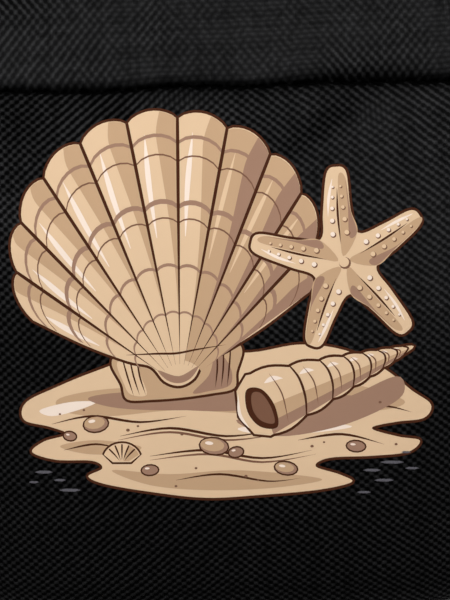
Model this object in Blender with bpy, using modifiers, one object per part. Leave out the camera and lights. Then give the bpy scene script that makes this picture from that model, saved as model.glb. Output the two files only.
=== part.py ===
"""A small child's backpack in black packcloth: a D-shaped compartment with a two-slider
zip over its arch, a full front pocket with a zip along its top, a padded back, two
padded shoulder straps with ladder locks and webbing, a grab handle and two mesh side
pockets.

Units are metres. X is to the wearer's right hand when the bag is seen from the front,
Y runs from the front pocket (-Y) to the shoulder straps (+Y), Z is up, and the bag
stands on its base panel at Z = 0.
"""

import math

import bmesh
import bpy
from mathutils import Matrix, Vector

MM = 0.001
GAP = 0.3 * MM

# ---- the compartment: a D outline carried through the bag's depth
HALF_WIDTH = 130 * MM
BOTTOM_Z = 3.3 * MM
ARCH_CENTRE_Z = 210 * MM
CORNER_RADIUS = 36 * MM
GUSSET_FRONT_Y = -32.5 * MM
GUSSET_BACK_Y = 59.5 * MM
FRONT_PANEL_Y = -44 * MM
BACK_PANEL_Y = 65 * MM
PIPING_RADIUS = 2.0 * MM
FRONT_PIPING_Y = -35 * MM
BACK_PIPING_Y = 62 * MM

# ---- base
BASE_THICKNESS = 3 * MM
BASE_HALF_LENGTH = 96 * MM
BASE_FRONT_Y = -30 * MM
BASE_BACK_Y = 57 * MM

# ---- front pocket: plan sections (height, half width, front face, squareness)
POCKET_BACK_Y = FRONT_PANEL_Y - GAP
SEAM_Z = 215 * MM
POCKET_LOWER = (
    (6.0, 80.0, -58.0, 2.8),
    (8.5, 92.0, -68.0, 2.9),
    (13.0, 100.0, -75.5, 3.0),
    (22.0, 105.0, -80.8, 3.0),
    (40.0, 107.5, -85.4, 3.0),
    (65.0, 108.0, -88.0, 3.0),
    (100.0, 108.0, -88.6, 3.0),
    (135.0, 108.0, -87.4, 3.1),
    (165.0, 108.0, -83.8, 3.2),
    (190.0, 107.5, -77.8, 3.4),
    (205.0, 107.0, -72.8, 3.7),
    (214.7, 106.5, -69.0, 4.0),
)
POCKET_UPPER = (
    (215.0, 106.5, -68.4, 4.0),
    (228.0, 105.0, -62.5, 4.3),
    (241.0, 103.0, -56.5, 4.8),
    (252.0, 100.0, -51.5, 5.5),
)

# ---- pocket zip: a tape leaning back from the pocket's top edge to the front panel
POCKET_ZIP_LOW = (-51.2 * MM, 253.4 * MM)  # y, z of the tape's outer face
POCKET_ZIP_HIGH = (-45.4 * MM, 262.1 * MM)
POCKET_ZIP_HALF_LENGTH = 92 * MM
POCKET_SLIDER_X = 84 * MM
TAPE_THICKNESS = 1.0 * MM
CHAIN_WIDTH = 4.6 * MM
CHAIN_HEIGHT = 1.9 * MM

# ---- main zip: over the arch and a little way down each side
MAIN_ZIP_Y = 5 * MM
MAIN_TAPE_HALF_WIDTH = 14 * MM
MAIN_ZIP_END_Z = 150 * MM
MAIN_TAPE_RADIUS = HALF_WIDTH + GAP + TAPE_THICKNESS
MAIN_SLIDER_REST_DEG = 2.3

# ---- sliders and pulls
SLIDER_HALF_LENGTH = 4.7 * MM
SLIDER_HALF_WIDTH = 4.0 * MM
SLIDER_TOP = 3.5 * MM
PULL_AXIS_HEIGHT = SLIDER_TOP + 1.5 * MM
PULL_LENGTH = 25 * MM
PULL_THICKNESS = 1.3 * MM
MAIN_PULL_DROOP_DEG = 6.0
POCKET_PULL_DROOP_DEG = 4.5

# ---- back pad, straps, hardware
PAD_THICKNESS = 8 * MM
PAD_HALF_WIDTH = 84 * MM
PAD_BOTTOM_Z = 22 * MM
PAD_ARCH_CENTRE_Z = 241 * MM
PAD_CORNER_RADIUS = 24 * MM
PAD_BACK_Y = BACK_PANEL_Y + GAP + PAD_THICKNESS
STRAP_THICKNESS = 12 * MM
STRAP_PATH = (  # x, y, z of the middle of the strap, and its width
    (38.0, 79.9, 312.0, 50.0),
    (40.0, 80.4, 299.0, 53.0),
    (45.0, 86.5, 283.0, 56.0),
    (53.0, 96.0, 261.0, 57.0),
    (61.0, 102.8, 234.0, 55.0),
    (68.0, 105.3, 205.0, 51.0),
    (74.0, 104.2, 176.0, 46.0),
    (79.0, 101.0, 151.0, 41.0),
    (82.0, 97.6, 132.0, 38.0),
)
WEBBING_WIDTH = 25 * MM
WEBBING_THICKNESS = 1.5 * MM
LOCK_WIDTH = 36 * MM
LOCK_LENGTH = 27 * MM
LOCK_THICKNESS = 4 * MM
HANDLE_Y = 42 * MM
HANDLE_WIDTH = 25 * MM
HANDLE_THICKNESS = 3 * MM

# ---- side pockets
SIDE_FRONT_Y = -27 * MM
SIDE_BACK_Y = 55 * MM
SIDE_BOTTOM_Z = 38 * MM
SIDE_MESH_TOP_Z = 127 * MM
SIDE_TOP_Z = 137 * MM
SIDE_BULGE = 16 * MM
SIDE_THICKNESS = 1.6 * MM

for old in list(bpy.data.objects):
    bpy.data.objects.remove(old, do_unlink=True)

parts = bpy.data.collections.new("backpack")
cutters = bpy.data.collections.new("backpack_cutters")
bpy.context.scene.collection.children.link(parts)
bpy.context.scene.collection.children.link(cutters)


def material(name, colour, roughness, metallic=0.0):
    made = bpy.data.materials.new(name)
    made.use_nodes = True
    shader = made.node_tree.nodes["Principled BSDF"]
    shader.inputs["Base Color"].default_value = (*colour, 1.0)
    shader.inputs["Roughness"].default_value = roughness
    shader.inputs["Metallic"].default_value = metallic
    made.diffuse_color = (*colour, 1.0)
    return made


CLOTH = (0.010, 0.010, 0.011)
WEB = (0.014, 0.014, 0.015)
MOULDED = (0.012, 0.012, 0.013)
STEEL = (0.32, 0.32, 0.33)


def place(obj, colour, roughness, metallic=0.0, collection=parts):
    collection.objects.link(obj)
    obj.data.materials.append(material(obj.name, colour, roughness, metallic))
    return obj


def as_cutter(obj):
    cutters.objects.link(obj)
    obj.hide_render = True
    obj.display_type = "WIRE"
    return obj


def mesh_object(name, bm):
    bmesh.ops.recalc_face_normals(bm, faces=bm.faces)
    data = bpy.data.meshes.new(name)
    bm.to_mesh(data)
    bm.free()
    return bpy.data.objects.new(name, data)


def smooth(obj, degrees=40):
    obj.data.shade_smooth()
    obj.data.set_sharp_from_angle(angle=math.radians(degrees))
    return obj


def loft(name, sections, closed=False):
    """A closed body through unlike sections that all have the same number of points."""
    bm = bmesh.new()
    rings = [[bm.verts.new(p) for p in section] for section in sections]
    count = len(rings[0])
    pairs = list(zip(rings, rings[1:]))
    if closed:
        pairs.append((rings[-1], rings[0]))
    for one, two in pairs:
        for i in range(count):
            j = (i + 1) % count
            bm.faces.new((one[i], one[j], two[j], two[i]))
    if not closed:
        bm.faces.new(rings[0])
        bm.faces.new(list(reversed(rings[-1])))
    return mesh_object(name, bm)


def catmull(points, steps):
    """Smooth stations through the given points; works on tuples of any length."""
    out = []
    last = len(points) - 1
    for i in range(last):
        p0, p1, p2, p3 = (points[max(0, min(last, i + k))] for k in (-1, 0, 1, 2))
        for s in range(steps):
            t = s / steps
            out.append(
                tuple(
                    0.5
                    * (
                        2 * b
                        + (c - a) * t
                        + (2 * a - 5 * b + 4 * c - d) * t * t
                        + (3 * b - a - 3 * c + d) * t**3
                    )
                    for a, b, c, d in zip(p0, p1, p2, p3)
                )
            )
    out.append(tuple(points[-1]))
    return out


BAG_OUTLINE = (HALF_WIDTH, BOTTOM_Z, ARCH_CENTRE_Z, CORNER_RADIUS)
PAD_OUTLINE = (PAD_HALF_WIDTH, PAD_BOTTOM_Z, PAD_ARCH_CENTRE_Z, PAD_CORNER_RADIUS)


def d_outline(inset=0.0, shape=BAG_OUTLINE, arch_steps=20, corner_steps=5):
    """A D outline seen from the front, as (x, z), from the arch's right foot round."""
    half, low, centre, corner = shape
    half -= inset
    low += inset
    corner = max(corner - inset, 4 * MM)
    points = []
    for i in range(arch_steps + 1):
        angle = math.pi * i / arch_steps
        points.append((half * math.cos(angle), centre + half * math.sin(angle)))
    for i in range(corner_steps + 1):
        angle = math.pi + 0.5 * math.pi * i / corner_steps
        points.append(
            (
                -half + corner + corner * math.cos(angle),
                low + corner + corner * math.sin(angle),
            )
        )
    for i in range(corner_steps + 1):
        angle = 1.5 * math.pi + 0.5 * math.pi * i / corner_steps
        points.append(
            (
                half - corner + corner * math.cos(angle),
                low + corner + corner * math.sin(angle),
            )
        )
    return points


def d_ring(y, inset, **steps):
    return [Vector((x, y, z)) for x, z in d_outline(inset, **steps)]


def flat_curve(name, outlines, half_thickness):
    """A flat piece from closed outlines, the first the outside and the rest its windows."""
    data = bpy.data.curves.new(name, "CURVE")
    data.dimensions = "2D"
    data.fill_mode = "BOTH"
    data.extrude = half_thickness
    for outline in outlines:
        spline = data.splines.new("POLY")
        spline.points.add(len(outline) - 1)
        for point, (x, y) in zip(spline.points, outline):
            point.co = (x, y, 0.0, 1.0)
        spline.use_cyclic_u = True
    return bpy.data.objects.new(name, data)


def to_mesh(obj):
    """The same shape as a welded mesh object, for a piece that is cut or joined."""
    bpy.context.scene.collection.objects.link(obj)
    bpy.context.view_layer.update()
    graph = bpy.context.evaluated_depsgraph_get()
    data = bpy.data.meshes.new_from_object(obj.evaluated_get(graph))
    name, world = obj.name, obj.matrix_world.copy()
    bpy.data.objects.remove(obj, do_unlink=True)
    bm = bmesh.new()
    bm.from_mesh(data)
    bmesh.ops.remove_doubles(bm, verts=bm.verts, dist=1e-6)
    bm.to_mesh(data)
    bm.free()
    made = bpy.data.objects.new(name, data)
    made.matrix_world = world
    return made


def rounded_rectangle(x0, x1, y0, y1, radius, steps=3):
    out = []
    for cx, cy, start in (
        (x1 - radius, y1 - radius, 0.0),
        (x0 + radius, y1 - radius, 0.5),
        (x0 + radius, y0 + radius, 1.0),
        (x1 - radius, y0 + radius, 1.5),
    ):
        for i in range(steps + 1):
            angle = math.pi * (start + 0.5 * i / steps)
            out.append((cx + radius * math.cos(angle), cy + radius * math.sin(angle)))
    return out


def tube(name, path, radius, cyclic=False):
    data = bpy.data.curves.new(name, "CURVE")
    data.dimensions = "3D"
    data.bevel_depth = radius
    data.bevel_resolution = 2
    data.use_fill_caps = not cyclic
    spline = data.splines.new("POLY")
    spline.points.add(len(path) - 1)
    for point, place_at in zip(spline.points, path):
        point.co = (*place_at, 1.0)
    spline.use_cyclic_u = cyclic
    return bpy.data.objects.new(name, data)


def ribbon_sections(path, widths, thickness, side_hint, rounding=0.35):
    """Sections of a flat band along a path: eight points each, its corners eased."""
    out = []
    for i, here in enumerate(path):
        before = path[max(0, i - 1)]
        after = path[min(len(path) - 1, i + 1)]
        along = (after - before).normalized()
        side = side_hint - along * side_hint.dot(along)
        side.normalize()
        up = side.cross(along)
        a, b = 0.5 * widths[i], 0.5 * thickness
        ease = rounding * thickness
        out.append(
            [
                here + side * u + up * v
                for u, v in (
                    (a, b - ease),
                    (a - ease, b),
                    (-a + ease, b),
                    (-a, b - ease),
                    (-a, -b + ease),
                    (-a + ease, -b),
                    (a - ease, -b),
                    (a, -b + ease),
                )
            ]
        )
    return out


# ------------------------------------------------------------------ compartment and base

body_rings = (
    (BACK_PANEL_Y, 9 * MM),
    (BACK_PANEL_Y - 1.0 * MM, 4 * MM),
    (BACK_PANEL_Y - 1.8 * MM, 3 * MM),
    (GUSSET_BACK_Y, 3 * MM),
    (GUSSET_BACK_Y - 0.6 * MM, 0.0),
    (GUSSET_FRONT_Y + 0.6 * MM, 0.0),
    (GUSSET_FRONT_Y, 3 * MM),
    (FRONT_PIPING_Y - 2.6 * MM, 3 * MM),
    (FRONT_PIPING_Y - 4.4 * MM, 7 * MM),
    (FRONT_PANEL_Y + 1.8 * MM, 13 * MM),
    (FRONT_PANEL_Y + 0.4 * MM, 19 * MM),
    (FRONT_PANEL_Y, 26 * MM),
)
compartment = loft("main_compartment", [d_ring(y, inset) for y, inset in body_rings])
place(smooth(compartment), CLOTH, 0.85)

bpy.ops.mesh.primitive_cube_add(
    size=1.0,
    location=(
        0.0,
        0.5 * (BASE_FRONT_Y + BASE_BACK_Y),
        0.5 * BASE_THICKNESS,
    ),
)
base = bpy.context.active_object
base.name = "base_panel"
base.data.transform(
    Matrix.Diagonal(
        (2 * BASE_HALF_LENGTH, BASE_BACK_Y - BASE_FRONT_Y, BASE_THICKNESS, 1.0)
    )
)
for owner in list(base.users_collection):
    owner.objects.unlink(base)
edge = base.modifiers.new("corners", "BEVEL")
edge.width = 1.0 * MM
edge.segments = 2
place(base, CLOTH, 0.9)

for name, y in (("front_piping", FRONT_PIPING_Y), ("back_piping", BACK_PIPING_Y)):
    bead = tube(
        name, d_ring(y, 0.3 * MM, arch_steps=22, corner_steps=5), PIPING_RADIUS, True
    )
    place(bead, WEB, 0.7)

# ------------------------------------------------------------------ front pocket


def pocket_section(height, half_width, front, squareness, steps=22):
    """A plan section: straight along the back, a flattened bow along the front."""
    depth = POCKET_BACK_Y - front * MM
    power = 2.0 / squareness
    points = []
    for i in range(steps + 1):
        angle = math.pi * i / steps
        c, s = math.cos(angle), math.sin(angle)
        points.append(
            Vector(
                (
                    half_width * MM * math.copysign(abs(c) ** power, c),
                    POCKET_BACK_Y - depth * abs(s) ** power,
                    height * MM,
                )
            )
        )
    return points


lower = loft("pocket_lower", [pocket_section(*row) for row in POCKET_LOWER])
place(smooth(lower), CLOTH, 0.85)
upper = loft("pocket_upper", [pocket_section(*row) for row in POCKET_UPPER])
place(smooth(upper), CLOTH, 0.85)

# ------------------------------------------------------------------ zips


def tape_profile(half_width):
    """Across a zip: the tape, and the coil standing on it, as (across, up)."""
    c = 0.5 * CHAIN_WIDTH
    h = CHAIN_HEIGHT
    return (
        (-half_width, -TAPE_THICKNESS),
        (half_width, -TAPE_THICKNESS),
        (half_width, 0.0),
        (c, 0.0),
        (c - 0.5 * MM, h),
        (-c + 0.5 * MM, h),
        (-c, 0.0),
        (-half_width, 0.0),
    )


low = Vector((0.0, *POCKET_ZIP_LOW))
high = Vector((0.0, *POCKET_ZIP_HIGH))
lean = (high - low).normalized()
outward = Vector((1.0, 0.0, 0.0)).cross(lean)
if outward.y > 0:
    outward.negate()
zip_middle = 0.5 * (low + high)
pocket_tape_half = 0.5 * (high - low).length
pocket_zip = loft(
    "pocket_zip",
    [
        [
            Vector((x, 0.0, 0.0)) + zip_middle + lean * a + outward * u
            for a, u in tape_profile(pocket_tape_half)
        ]
        for x in (-POCKET_ZIP_HALF_LENGTH, POCKET_ZIP_HALF_LENGTH)
    ],
)
place(pocket_zip, WEB, 0.75)


def main_zip_path():
    """Middle of the tape's outer face, with the direction it faces, end to end."""
    r = MAIN_TAPE_RADIUS
    stations = [(Vector((r, MAIN_ZIP_Y, MAIN_ZIP_END_Z)), Vector((1.0, 0.0, 0.0)))]
    steps = 32
    for i in range(steps + 1):
        angle = math.pi * i / steps
        face = Vector((math.cos(angle), 0.0, math.sin(angle)))
        stations.append((Vector((0.0, MAIN_ZIP_Y, ARCH_CENTRE_Z)) + face * r, face))
    stations.append((Vector((-r, MAIN_ZIP_Y, MAIN_ZIP_END_Z)), Vector((-1.0, 0.0, 0.0))))
    return stations


across = Vector((0.0, 1.0, 0.0))
main_zip = loft(
    "main_zip",
    [
        [at + across * a + face * u for a, u in tape_profile(MAIN_TAPE_HALF_WIDTH)]
        for at, face in main_zip_path()
    ],
)
place(main_zip, WEB, 0.75)

# ------------------------------------------------------------------ sliders and pulls


def frame_at(origin, travel, up):
    side = up.cross(travel)
    return Matrix(
        (
            (travel.x, side.x, up.x, origin.x),
            (travel.y, side.y, up.y, origin.y),
            (travel.z, side.z, up.z, origin.z),
            (0.0, 0.0, 0.0, 1.0),
        )
    )


def make_slider(name, world):
    """A saddle over the coil, with a bridge along its top for the pull's bar."""
    w, h, top = SLIDER_HALF_WIDTH, 0.5 * CHAIN_WIDTH + 0.35 * MM, SLIDER_TOP
    roof = CHAIN_HEIGHT + 0.35 * MM
    saddle = (
        (-w, GAP),
        (-h, GAP),
        (-h, roof),
        (h, roof),
        (h, GAP),
        (w, GAP),
        (w, top - 0.8 * MM),
        (w - 0.8 * MM, top),
        (-w + 0.8 * MM, top),
        (-w, top - 0.8 * MM),
    )
    upright = Matrix.Rotation(math.pi / 2, 4, "Z") @ Matrix.Rotation(math.pi / 2, 4, "X")
    body = flat_curve(name, [saddle], SLIDER_HALF_LENGTH)
    body.matrix_world = upright
    body = to_mesh(body)
    body.data.transform(body.matrix_world)
    body.matrix_world = Matrix.Identity(4)
    outer = (
        (-4.0 * MM, top - 0.3 * MM),
        (4.0 * MM, top - 0.3 * MM),
        (4.0 * MM, top + 2.4 * MM),
        (3.0 * MM, top + 3.7 * MM),
        (-3.0 * MM, top + 3.7 * MM),
        (-4.0 * MM, top + 2.4 * MM),
    )
    window = (
        (-2.7 * MM, top + 0.02 * MM),
        (2.7 * MM, top + 0.02 * MM),
        (2.7 * MM, top + 2.2 * MM),
        (2.3 * MM, top + 2.7 * MM),
        (-2.3 * MM, top + 2.7 * MM),
        (-2.7 * MM, top + 2.2 * MM),
    )
    bridge = flat_curve(name + "_bridge", [outer, window], 1.1 * MM)
    bridge.matrix_world = Matrix.Rotation(math.pi / 2, 4, "X")
    bridge = to_mesh(bridge)
    bridge.data.transform(bridge.matrix_world)
    bridge.matrix_world = world
    as_cutter(bridge)
    body.matrix_world = world
    join = body.modifiers.new("bridge", "BOOLEAN")
    join.operation = "UNION"
    join.solver = "EXACT"
    join.object = bridge
    place(body, STEEL, 0.35, 0.9)
    return body


def make_pull(name, world):
    """A flat tab with a window at its root; the bar across the window is its hinge."""
    bar = 0.5 * PULL_THICKNESS
    outline = [
        (-bar, -3.6 * MM),
        (6.5 * MM, -3.6 * MM),
        (9.0 * MM, -2.9 * MM),
        (PULL_LENGTH - 7 * MM, -4.0 * MM),
        (PULL_LENGTH - 2 * MM, -4.0 * MM),
        (PULL_LENGTH, -2.4 * MM),
        (PULL_LENGTH, 2.4 * MM),
        (PULL_LENGTH - 2 * MM, 4.0 * MM),
        (PULL_LENGTH - 7 * MM, 4.0 * MM),
        (9.0 * MM, 2.9 * MM),
        (6.5 * MM, 3.6 * MM),
        (-bar, 3.6 * MM),
    ]
    window = [
        (bar, -2.0 * MM),
        (6.0 * MM, -2.0 * MM),
        (6.0 * MM, 2.0 * MM),
        (bar, 2.0 * MM),
    ]
    tab = flat_curve(name, [outline, window], bar)
    tab.matrix_world = world
    place(tab, STEEL, 0.35, 0.9)
    return tab


def add_slider(name, pull_name, origin, travel, up, droop_degrees):
    at = frame_at(origin, travel, up)
    make_slider(name, at)
    droop = Matrix.Rotation(math.radians(droop_degrees), 4, "Y")
    make_pull(pull_name, at @ Matrix.Translation((0.0, 0.0, PULL_AXIS_HEIGHT)) @ droop)


for side, slider_name, pull_name in (
    (1.0, "main_slider_right", "main_pull_right"),
    (-1.0, "main_slider_left", "main_pull_left"),
):
    angle = math.radians(MAIN_SLIDER_REST_DEG)
    face = Vector((side * math.sin(angle), 0.0, math.cos(angle)))
    travel = Vector((side * math.cos(angle), 0.0, -math.sin(angle)))
    add_slider(
        slider_name,
        pull_name,
        Vector((0.0, MAIN_ZIP_Y, ARCH_CENTRE_Z)) + face * MAIN_TAPE_RADIUS,
        travel,
        face,
        MAIN_PULL_DROOP_DEG,
    )

add_slider(
    "pocket_slider",
    "pocket_pull",
    zip_middle + Vector((POCKET_SLIDER_X, 0.0, 0.0)),
    Vector((-1.0, 0.0, 0.0)),
    outward,
    POCKET_PULL_DROOP_DEG,
)

# ------------------------------------------------------------------ back pad and straps

pad_rings = (
    (BACK_PANEL_Y + GAP, 0.0),
    (PAD_BACK_Y - 3.0 * MM, 0.0),
    (PAD_BACK_Y - 0.8 * MM, 1.5 * MM),
    (PAD_BACK_Y, 5 * MM),
)
pad = loft(
    "back_pad",
    [d_ring(y, inset, shape=PAD_OUTLINE, arch_steps=16) for y, inset in pad_rings],
)
place(smooth(pad), CLOTH, 0.9)

for side, name in ((1.0, "right"), (-1.0, "left")):
    stations = catmull(STRAP_PATH, 3)
    middle = [Vector((side * x, y, z)) * MM for x, y, z, _ in stations]
    widths = [w * MM for *_, w in stations]
    hint = Vector((1.0, 0.0, 0.0))
    strap = loft(
        "shoulder_strap_" + name,
        ribbon_sections(middle, widths, STRAP_THICKNESS, hint, 0.4),
    )
    place(smooth(strap, 60), CLOTH, 0.88)

    # the ladder lock hangs off the strap's end, in the strap's own plane
    end, before = middle[-1], middle[-3]
    down = (end - before).normalized()
    wide = (hint - down * hint.dot(down)).normalized()
    facing = wide.cross(down)
    if facing.y < 0:
        facing.negate()
    lock_middle = end + down * (GAP + 0.5 * LOCK_LENGTH)
    lock_frame = Matrix(
        (
            (wide.x, down.x, facing.x, lock_middle.x),
            (wide.y, down.y, facing.y, lock_middle.y),
            (wide.z, down.z, facing.z, lock_middle.z),
            (0.0, 0.0, 0.0, 1.0),
        )
    )
    if lock_frame.to_3x3().determinant() < 0:
        for row in range(3):
            lock_frame[row][0] = -lock_frame[row][0]
    a, b = 0.5 * LOCK_WIDTH, 0.5 * LOCK_LENGTH
    slot = 0.5 * WEBBING_WIDTH + 0.8 * MM
    lock = flat_curve(
        "ladder_lock_" + name,
        [
            rounded_rectangle(-a, a, -b, b, 4 * MM),
            rounded_rectangle(-slot, slot, -b + 4.0 * MM, -b + 8.5 * MM, 1 * MM, 1),
            rounded_rectangle(-slot, slot, b - 11.0 * MM, b - 6.0 * MM, 1 * MM, 1),
        ],
        0.5 * LOCK_THICKNESS,
    )
    lock.matrix_world = lock_frame
    place(lock, MOULDED, 0.45)

    # webbing: from the bottom corner up behind the lock, out through its slot, tail down
    def at(along, off):
        return lock_middle + down * along + facing * off

    inner = -0.5 * LOCK_THICKNESS - 0.5 * WEBBING_THICKNESS - 0.4 * MM
    turn = b - 8.5 * MM  # middle of the lower slot, from the lock's middle
    anchor = Vector((side * 101.0, 0.0, 0.0)) * MM
    run = [
        Vector((anchor.x, BACK_PANEL_Y + 1.2 * MM, 17 * MM)),
        Vector((anchor.x, BACK_PANEL_Y + 1.6 * MM, 27 * MM)),
        Vector((side * 99.0 * MM, BACK_PANEL_Y + 7.5 * MM, 45 * MM)),
        Vector((side * 94.0 * MM, BACK_PANEL_Y + 18.0 * MM, 70 * MM)),
        at(b + 12 * MM, inner - 0.2 * MM),
        at(b + 3 * MM, inner),
        at(turn + 2.6 * MM, inner + 0.1 * MM),
        at(turn + 0.6 * MM, inner + 1.2 * MM),
        at(turn, 0.0),
        at(turn + 0.6 * MM, -inner - 1.2 * MM),
        at(turn + 2.6 * MM, -inner - 0.1 * MM),
        at(b + 3 * MM, -inner),
        at(b + 20 * MM, -inner + 1.5 * MM),
        at(b + 44 * MM, -inner + 1.0 * MM) + Vector((0.0, -1.5 * MM, -2.0 * MM)),
    ]
    path = [Vector(p) for p in catmull([tuple(p) for p in run], 2)]
    web = loft(
        "webbing_" + name,
        ribbon_sections(path, [WEBBING_WIDTH] * len(path), WEBBING_THICKNESS, hint, 0.3),
    )
    place(smooth(web, 60), WEB, 0.7)

# ------------------------------------------------------------------ grab handle


def on_arch(x, lift):
    return Vector((x, HANDLE_Y, ARCH_CENTRE_Z + math.sqrt((HALF_WIDTH + lift) ** 2 - x * x)))


rest = 0.5 * HANDLE_THICKNESS + GAP
half_run = [
    on_arch(-66 * MM, rest),
    on_arch(-56 * MM, rest),
    on_arch(-47 * MM, rest + 1.2 * MM),
    Vector((-41.0 * MM, HANDLE_Y, 342.5 * MM)),
    Vector((-34.0 * MM, HANDLE_Y, 354.0 * MM)),
    Vector((-22.0 * MM, HANDLE_Y, 365.5 * MM)),
    Vector((-8.0 * MM, HANDLE_Y, 371.0 * MM)),
]
run = half_run + [Vector((-p.x, p.y, p.z)) for p in reversed(half_run)]
path = [Vector(p) for p in catmull([tuple(p) for p in run], 2)]
handle = loft(
    "grab_handle",
    ribbon_sections(path, [HANDLE_WIDTH] * len(path), HANDLE_THICKNESS, across, 0.3),
)
place(smooth(handle, 60), WEB, 0.7)

# ------------------------------------------------------------------ side pockets


def side_wall(bulge, thick, z, side, steps=10):
    """A plan section of the pocket's wall: out along its outer face, back along its inner."""
    outer, inner = [], []
    base_x = HALF_WIDTH + GAP
    for i in range(steps + 1):
        t = i / steps
        y = SIDE_FRONT_Y + (SIDE_BACK_Y - SIDE_FRONT_Y) * t
        swell = math.sin(math.pi * t) ** 0.55 if 0 < t < 1 else 0.0
        outer.append(Vector((side * (base_x + thick + bulge * swell), y, z)))
        squeeze = (0.5 * (SIDE_BACK_Y - SIDE_FRONT_Y) - thick) / (
            0.5 * (SIDE_BACK_Y - SIDE_FRONT_Y)
        )
        middle = 0.5 * (SIDE_FRONT_Y + SIDE_BACK_Y)
        inner.append(
            Vector((side * (base_x + bulge * swell), middle + (y - middle) * squeeze, z))
        )
    return outer + inner[::-1]


for side, name in ((1.0, "right"), (-1.0, "left")):
    levels = (
        (SIDE_BOTTOM_Z, 0.15),
        (SIDE_BOTTOM_Z + 5 * MM, 0.62),
        (SIDE_BOTTOM_Z + 14 * MM, 0.9),
        (SIDE_BOTTOM_Z + 30 * MM, 1.0),
        (SIDE_BOTTOM_Z + 55 * MM, 1.0),
        (SIDE_MESH_TOP_Z, 0.86),
    )
    wall = loft(
        "side_pocket_" + name,
        [side_wall(SIDE_BULGE * k, SIDE_THICKNESS, z, side) for z, k in levels],
    )
    place(smooth(wall, 50), CLOTH, 0.8)
    bind = loft(
        "side_binding_" + name,
        [
            side_wall(SIDE_BULGE * k, SIDE_THICKNESS + 0.8 * MM, z, side)
            for z, k in (
                (SIDE_MESH_TOP_Z + GAP, 0.85),
                (SIDE_TOP_Z, 0.80),
            )
        ],
    )
    place(smooth(bind, 50), WEB, 0.75)
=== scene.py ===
"""The looks of a small black packcloth backpack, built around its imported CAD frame.

Metres; X right, Y towards the straps, Z up. Every soft CAD solid is replaced by modelled
cloth; sliders, pulls and ladder locks keep their CAD shape or get an eased copy of it.
"""

import math

import bmesh
import bpy
import numpy as np
from mathutils import Matrix, Vector, geometry, noise
from mathutils.bvhtree import BVHTree


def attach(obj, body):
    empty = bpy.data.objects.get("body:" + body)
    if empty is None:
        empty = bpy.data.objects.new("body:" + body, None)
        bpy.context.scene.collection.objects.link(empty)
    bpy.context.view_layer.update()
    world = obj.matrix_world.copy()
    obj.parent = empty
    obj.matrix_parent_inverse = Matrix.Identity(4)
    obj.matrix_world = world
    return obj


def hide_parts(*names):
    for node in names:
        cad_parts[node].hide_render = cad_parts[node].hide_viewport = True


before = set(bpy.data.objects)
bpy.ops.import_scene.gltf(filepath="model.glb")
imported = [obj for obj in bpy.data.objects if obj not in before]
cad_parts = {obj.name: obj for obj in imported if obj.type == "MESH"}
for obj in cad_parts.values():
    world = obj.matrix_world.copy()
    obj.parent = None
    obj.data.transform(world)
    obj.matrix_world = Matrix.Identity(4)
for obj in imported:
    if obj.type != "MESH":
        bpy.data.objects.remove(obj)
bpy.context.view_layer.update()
MM = 0.001
RNG = np.random.default_rng(7)

# ------------------------------------------------------------------ camera, light, floor

PHOTO_W, PHOTO_H = 450, 600
LENS = 120.0
ELEVATION = math.radians(15.0)
ROLL = math.radians(1.1)
SCALE = 0.36 * MM  # metres a pixel covers on the pocket
TARGET = Vector((0.0, -0.0868, 0.1388))
DISTANCE = SCALE * PHOTO_H * LENS / 36.0

cam_data = bpy.data.cameras.new("camera")
cam_data.lens = LENS
cam_data.sensor_width = 36.0
cam_data.sensor_fit = "AUTO"
cam_data.clip_start = 0.02
cam_data.clip_end = 60.0
camera = bpy.data.objects.new("camera", cam_data)
bpy.context.scene.collection.objects.link(camera)
bpy.context.scene.camera = camera
back = Vector((0.0, -math.cos(ELEVATION), math.sin(ELEVATION)))
right = Vector((1.0, 0.0, 0.0))
up = back.cross(right)
c, s = math.cos(ROLL), math.sin(ROLL)
cam_x = right * c - up * s
cam_y = right * s + up * c
cam_at = TARGET + back * DISTANCE
camera.matrix_world = Matrix(
    (
        (cam_x.x, cam_y.x, back.x, cam_at.x),
        (cam_x.y, cam_y.y, back.y, cam_at.y),
        (cam_x.z, cam_y.z, back.z, cam_at.z),
        (0, 0, 0, 1),
    )
)


def to_pixel(p):
    """Where a point falls in the 450 x 600 picture."""
    d = Vector(p) - cam_at
    depth = -d.dot(back)
    f = LENS / 36.0 * PHOTO_H
    return (
        PHOTO_W / 2 + f * d.dot(cam_x) / depth,
        PHOTO_H / 2 - f * d.dot(cam_y) / depth,
    )


def area_light(name, at, aim, width, height, power, colour=(1.0, 1.0, 1.0)):
    data = bpy.data.lights.new(name, "AREA")
    data.shape = "RECTANGLE"
    data.size, data.size_y = width, height
    data.energy = power
    data.color = colour
    obj = bpy.data.objects.new(name, data)
    bpy.context.scene.collection.objects.link(obj)
    obj.location = at
    obj.rotation_euler = (Vector(aim) - Vector(at)).to_track_quat("-Z", "Y").to_euler()
    return obj


area_light("key", (-0.10, -0.93, 0.92), (0.0, -0.08, 0.19), 0.7, 0.45, 15.0)
area_light("left", (-1.75, -0.95, 0.85), (0.0, 0.0, 0.12), 1.1, 0.9, 9.0)
area_light("right", (1.75, -0.95, 0.85), (0.0, 0.0, 0.12), 1.1, 0.9, 9.0)
area_light("back", (0.75, 1.45, 1.15), (0.0, 0.0, 0.18), 1.2, 1.0, 30.0)
area_light("back_left", (-1.5, 1.1, 1.0), (0.0, 0.0, 0.18), 1.0, 0.9, 16.0)

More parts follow.
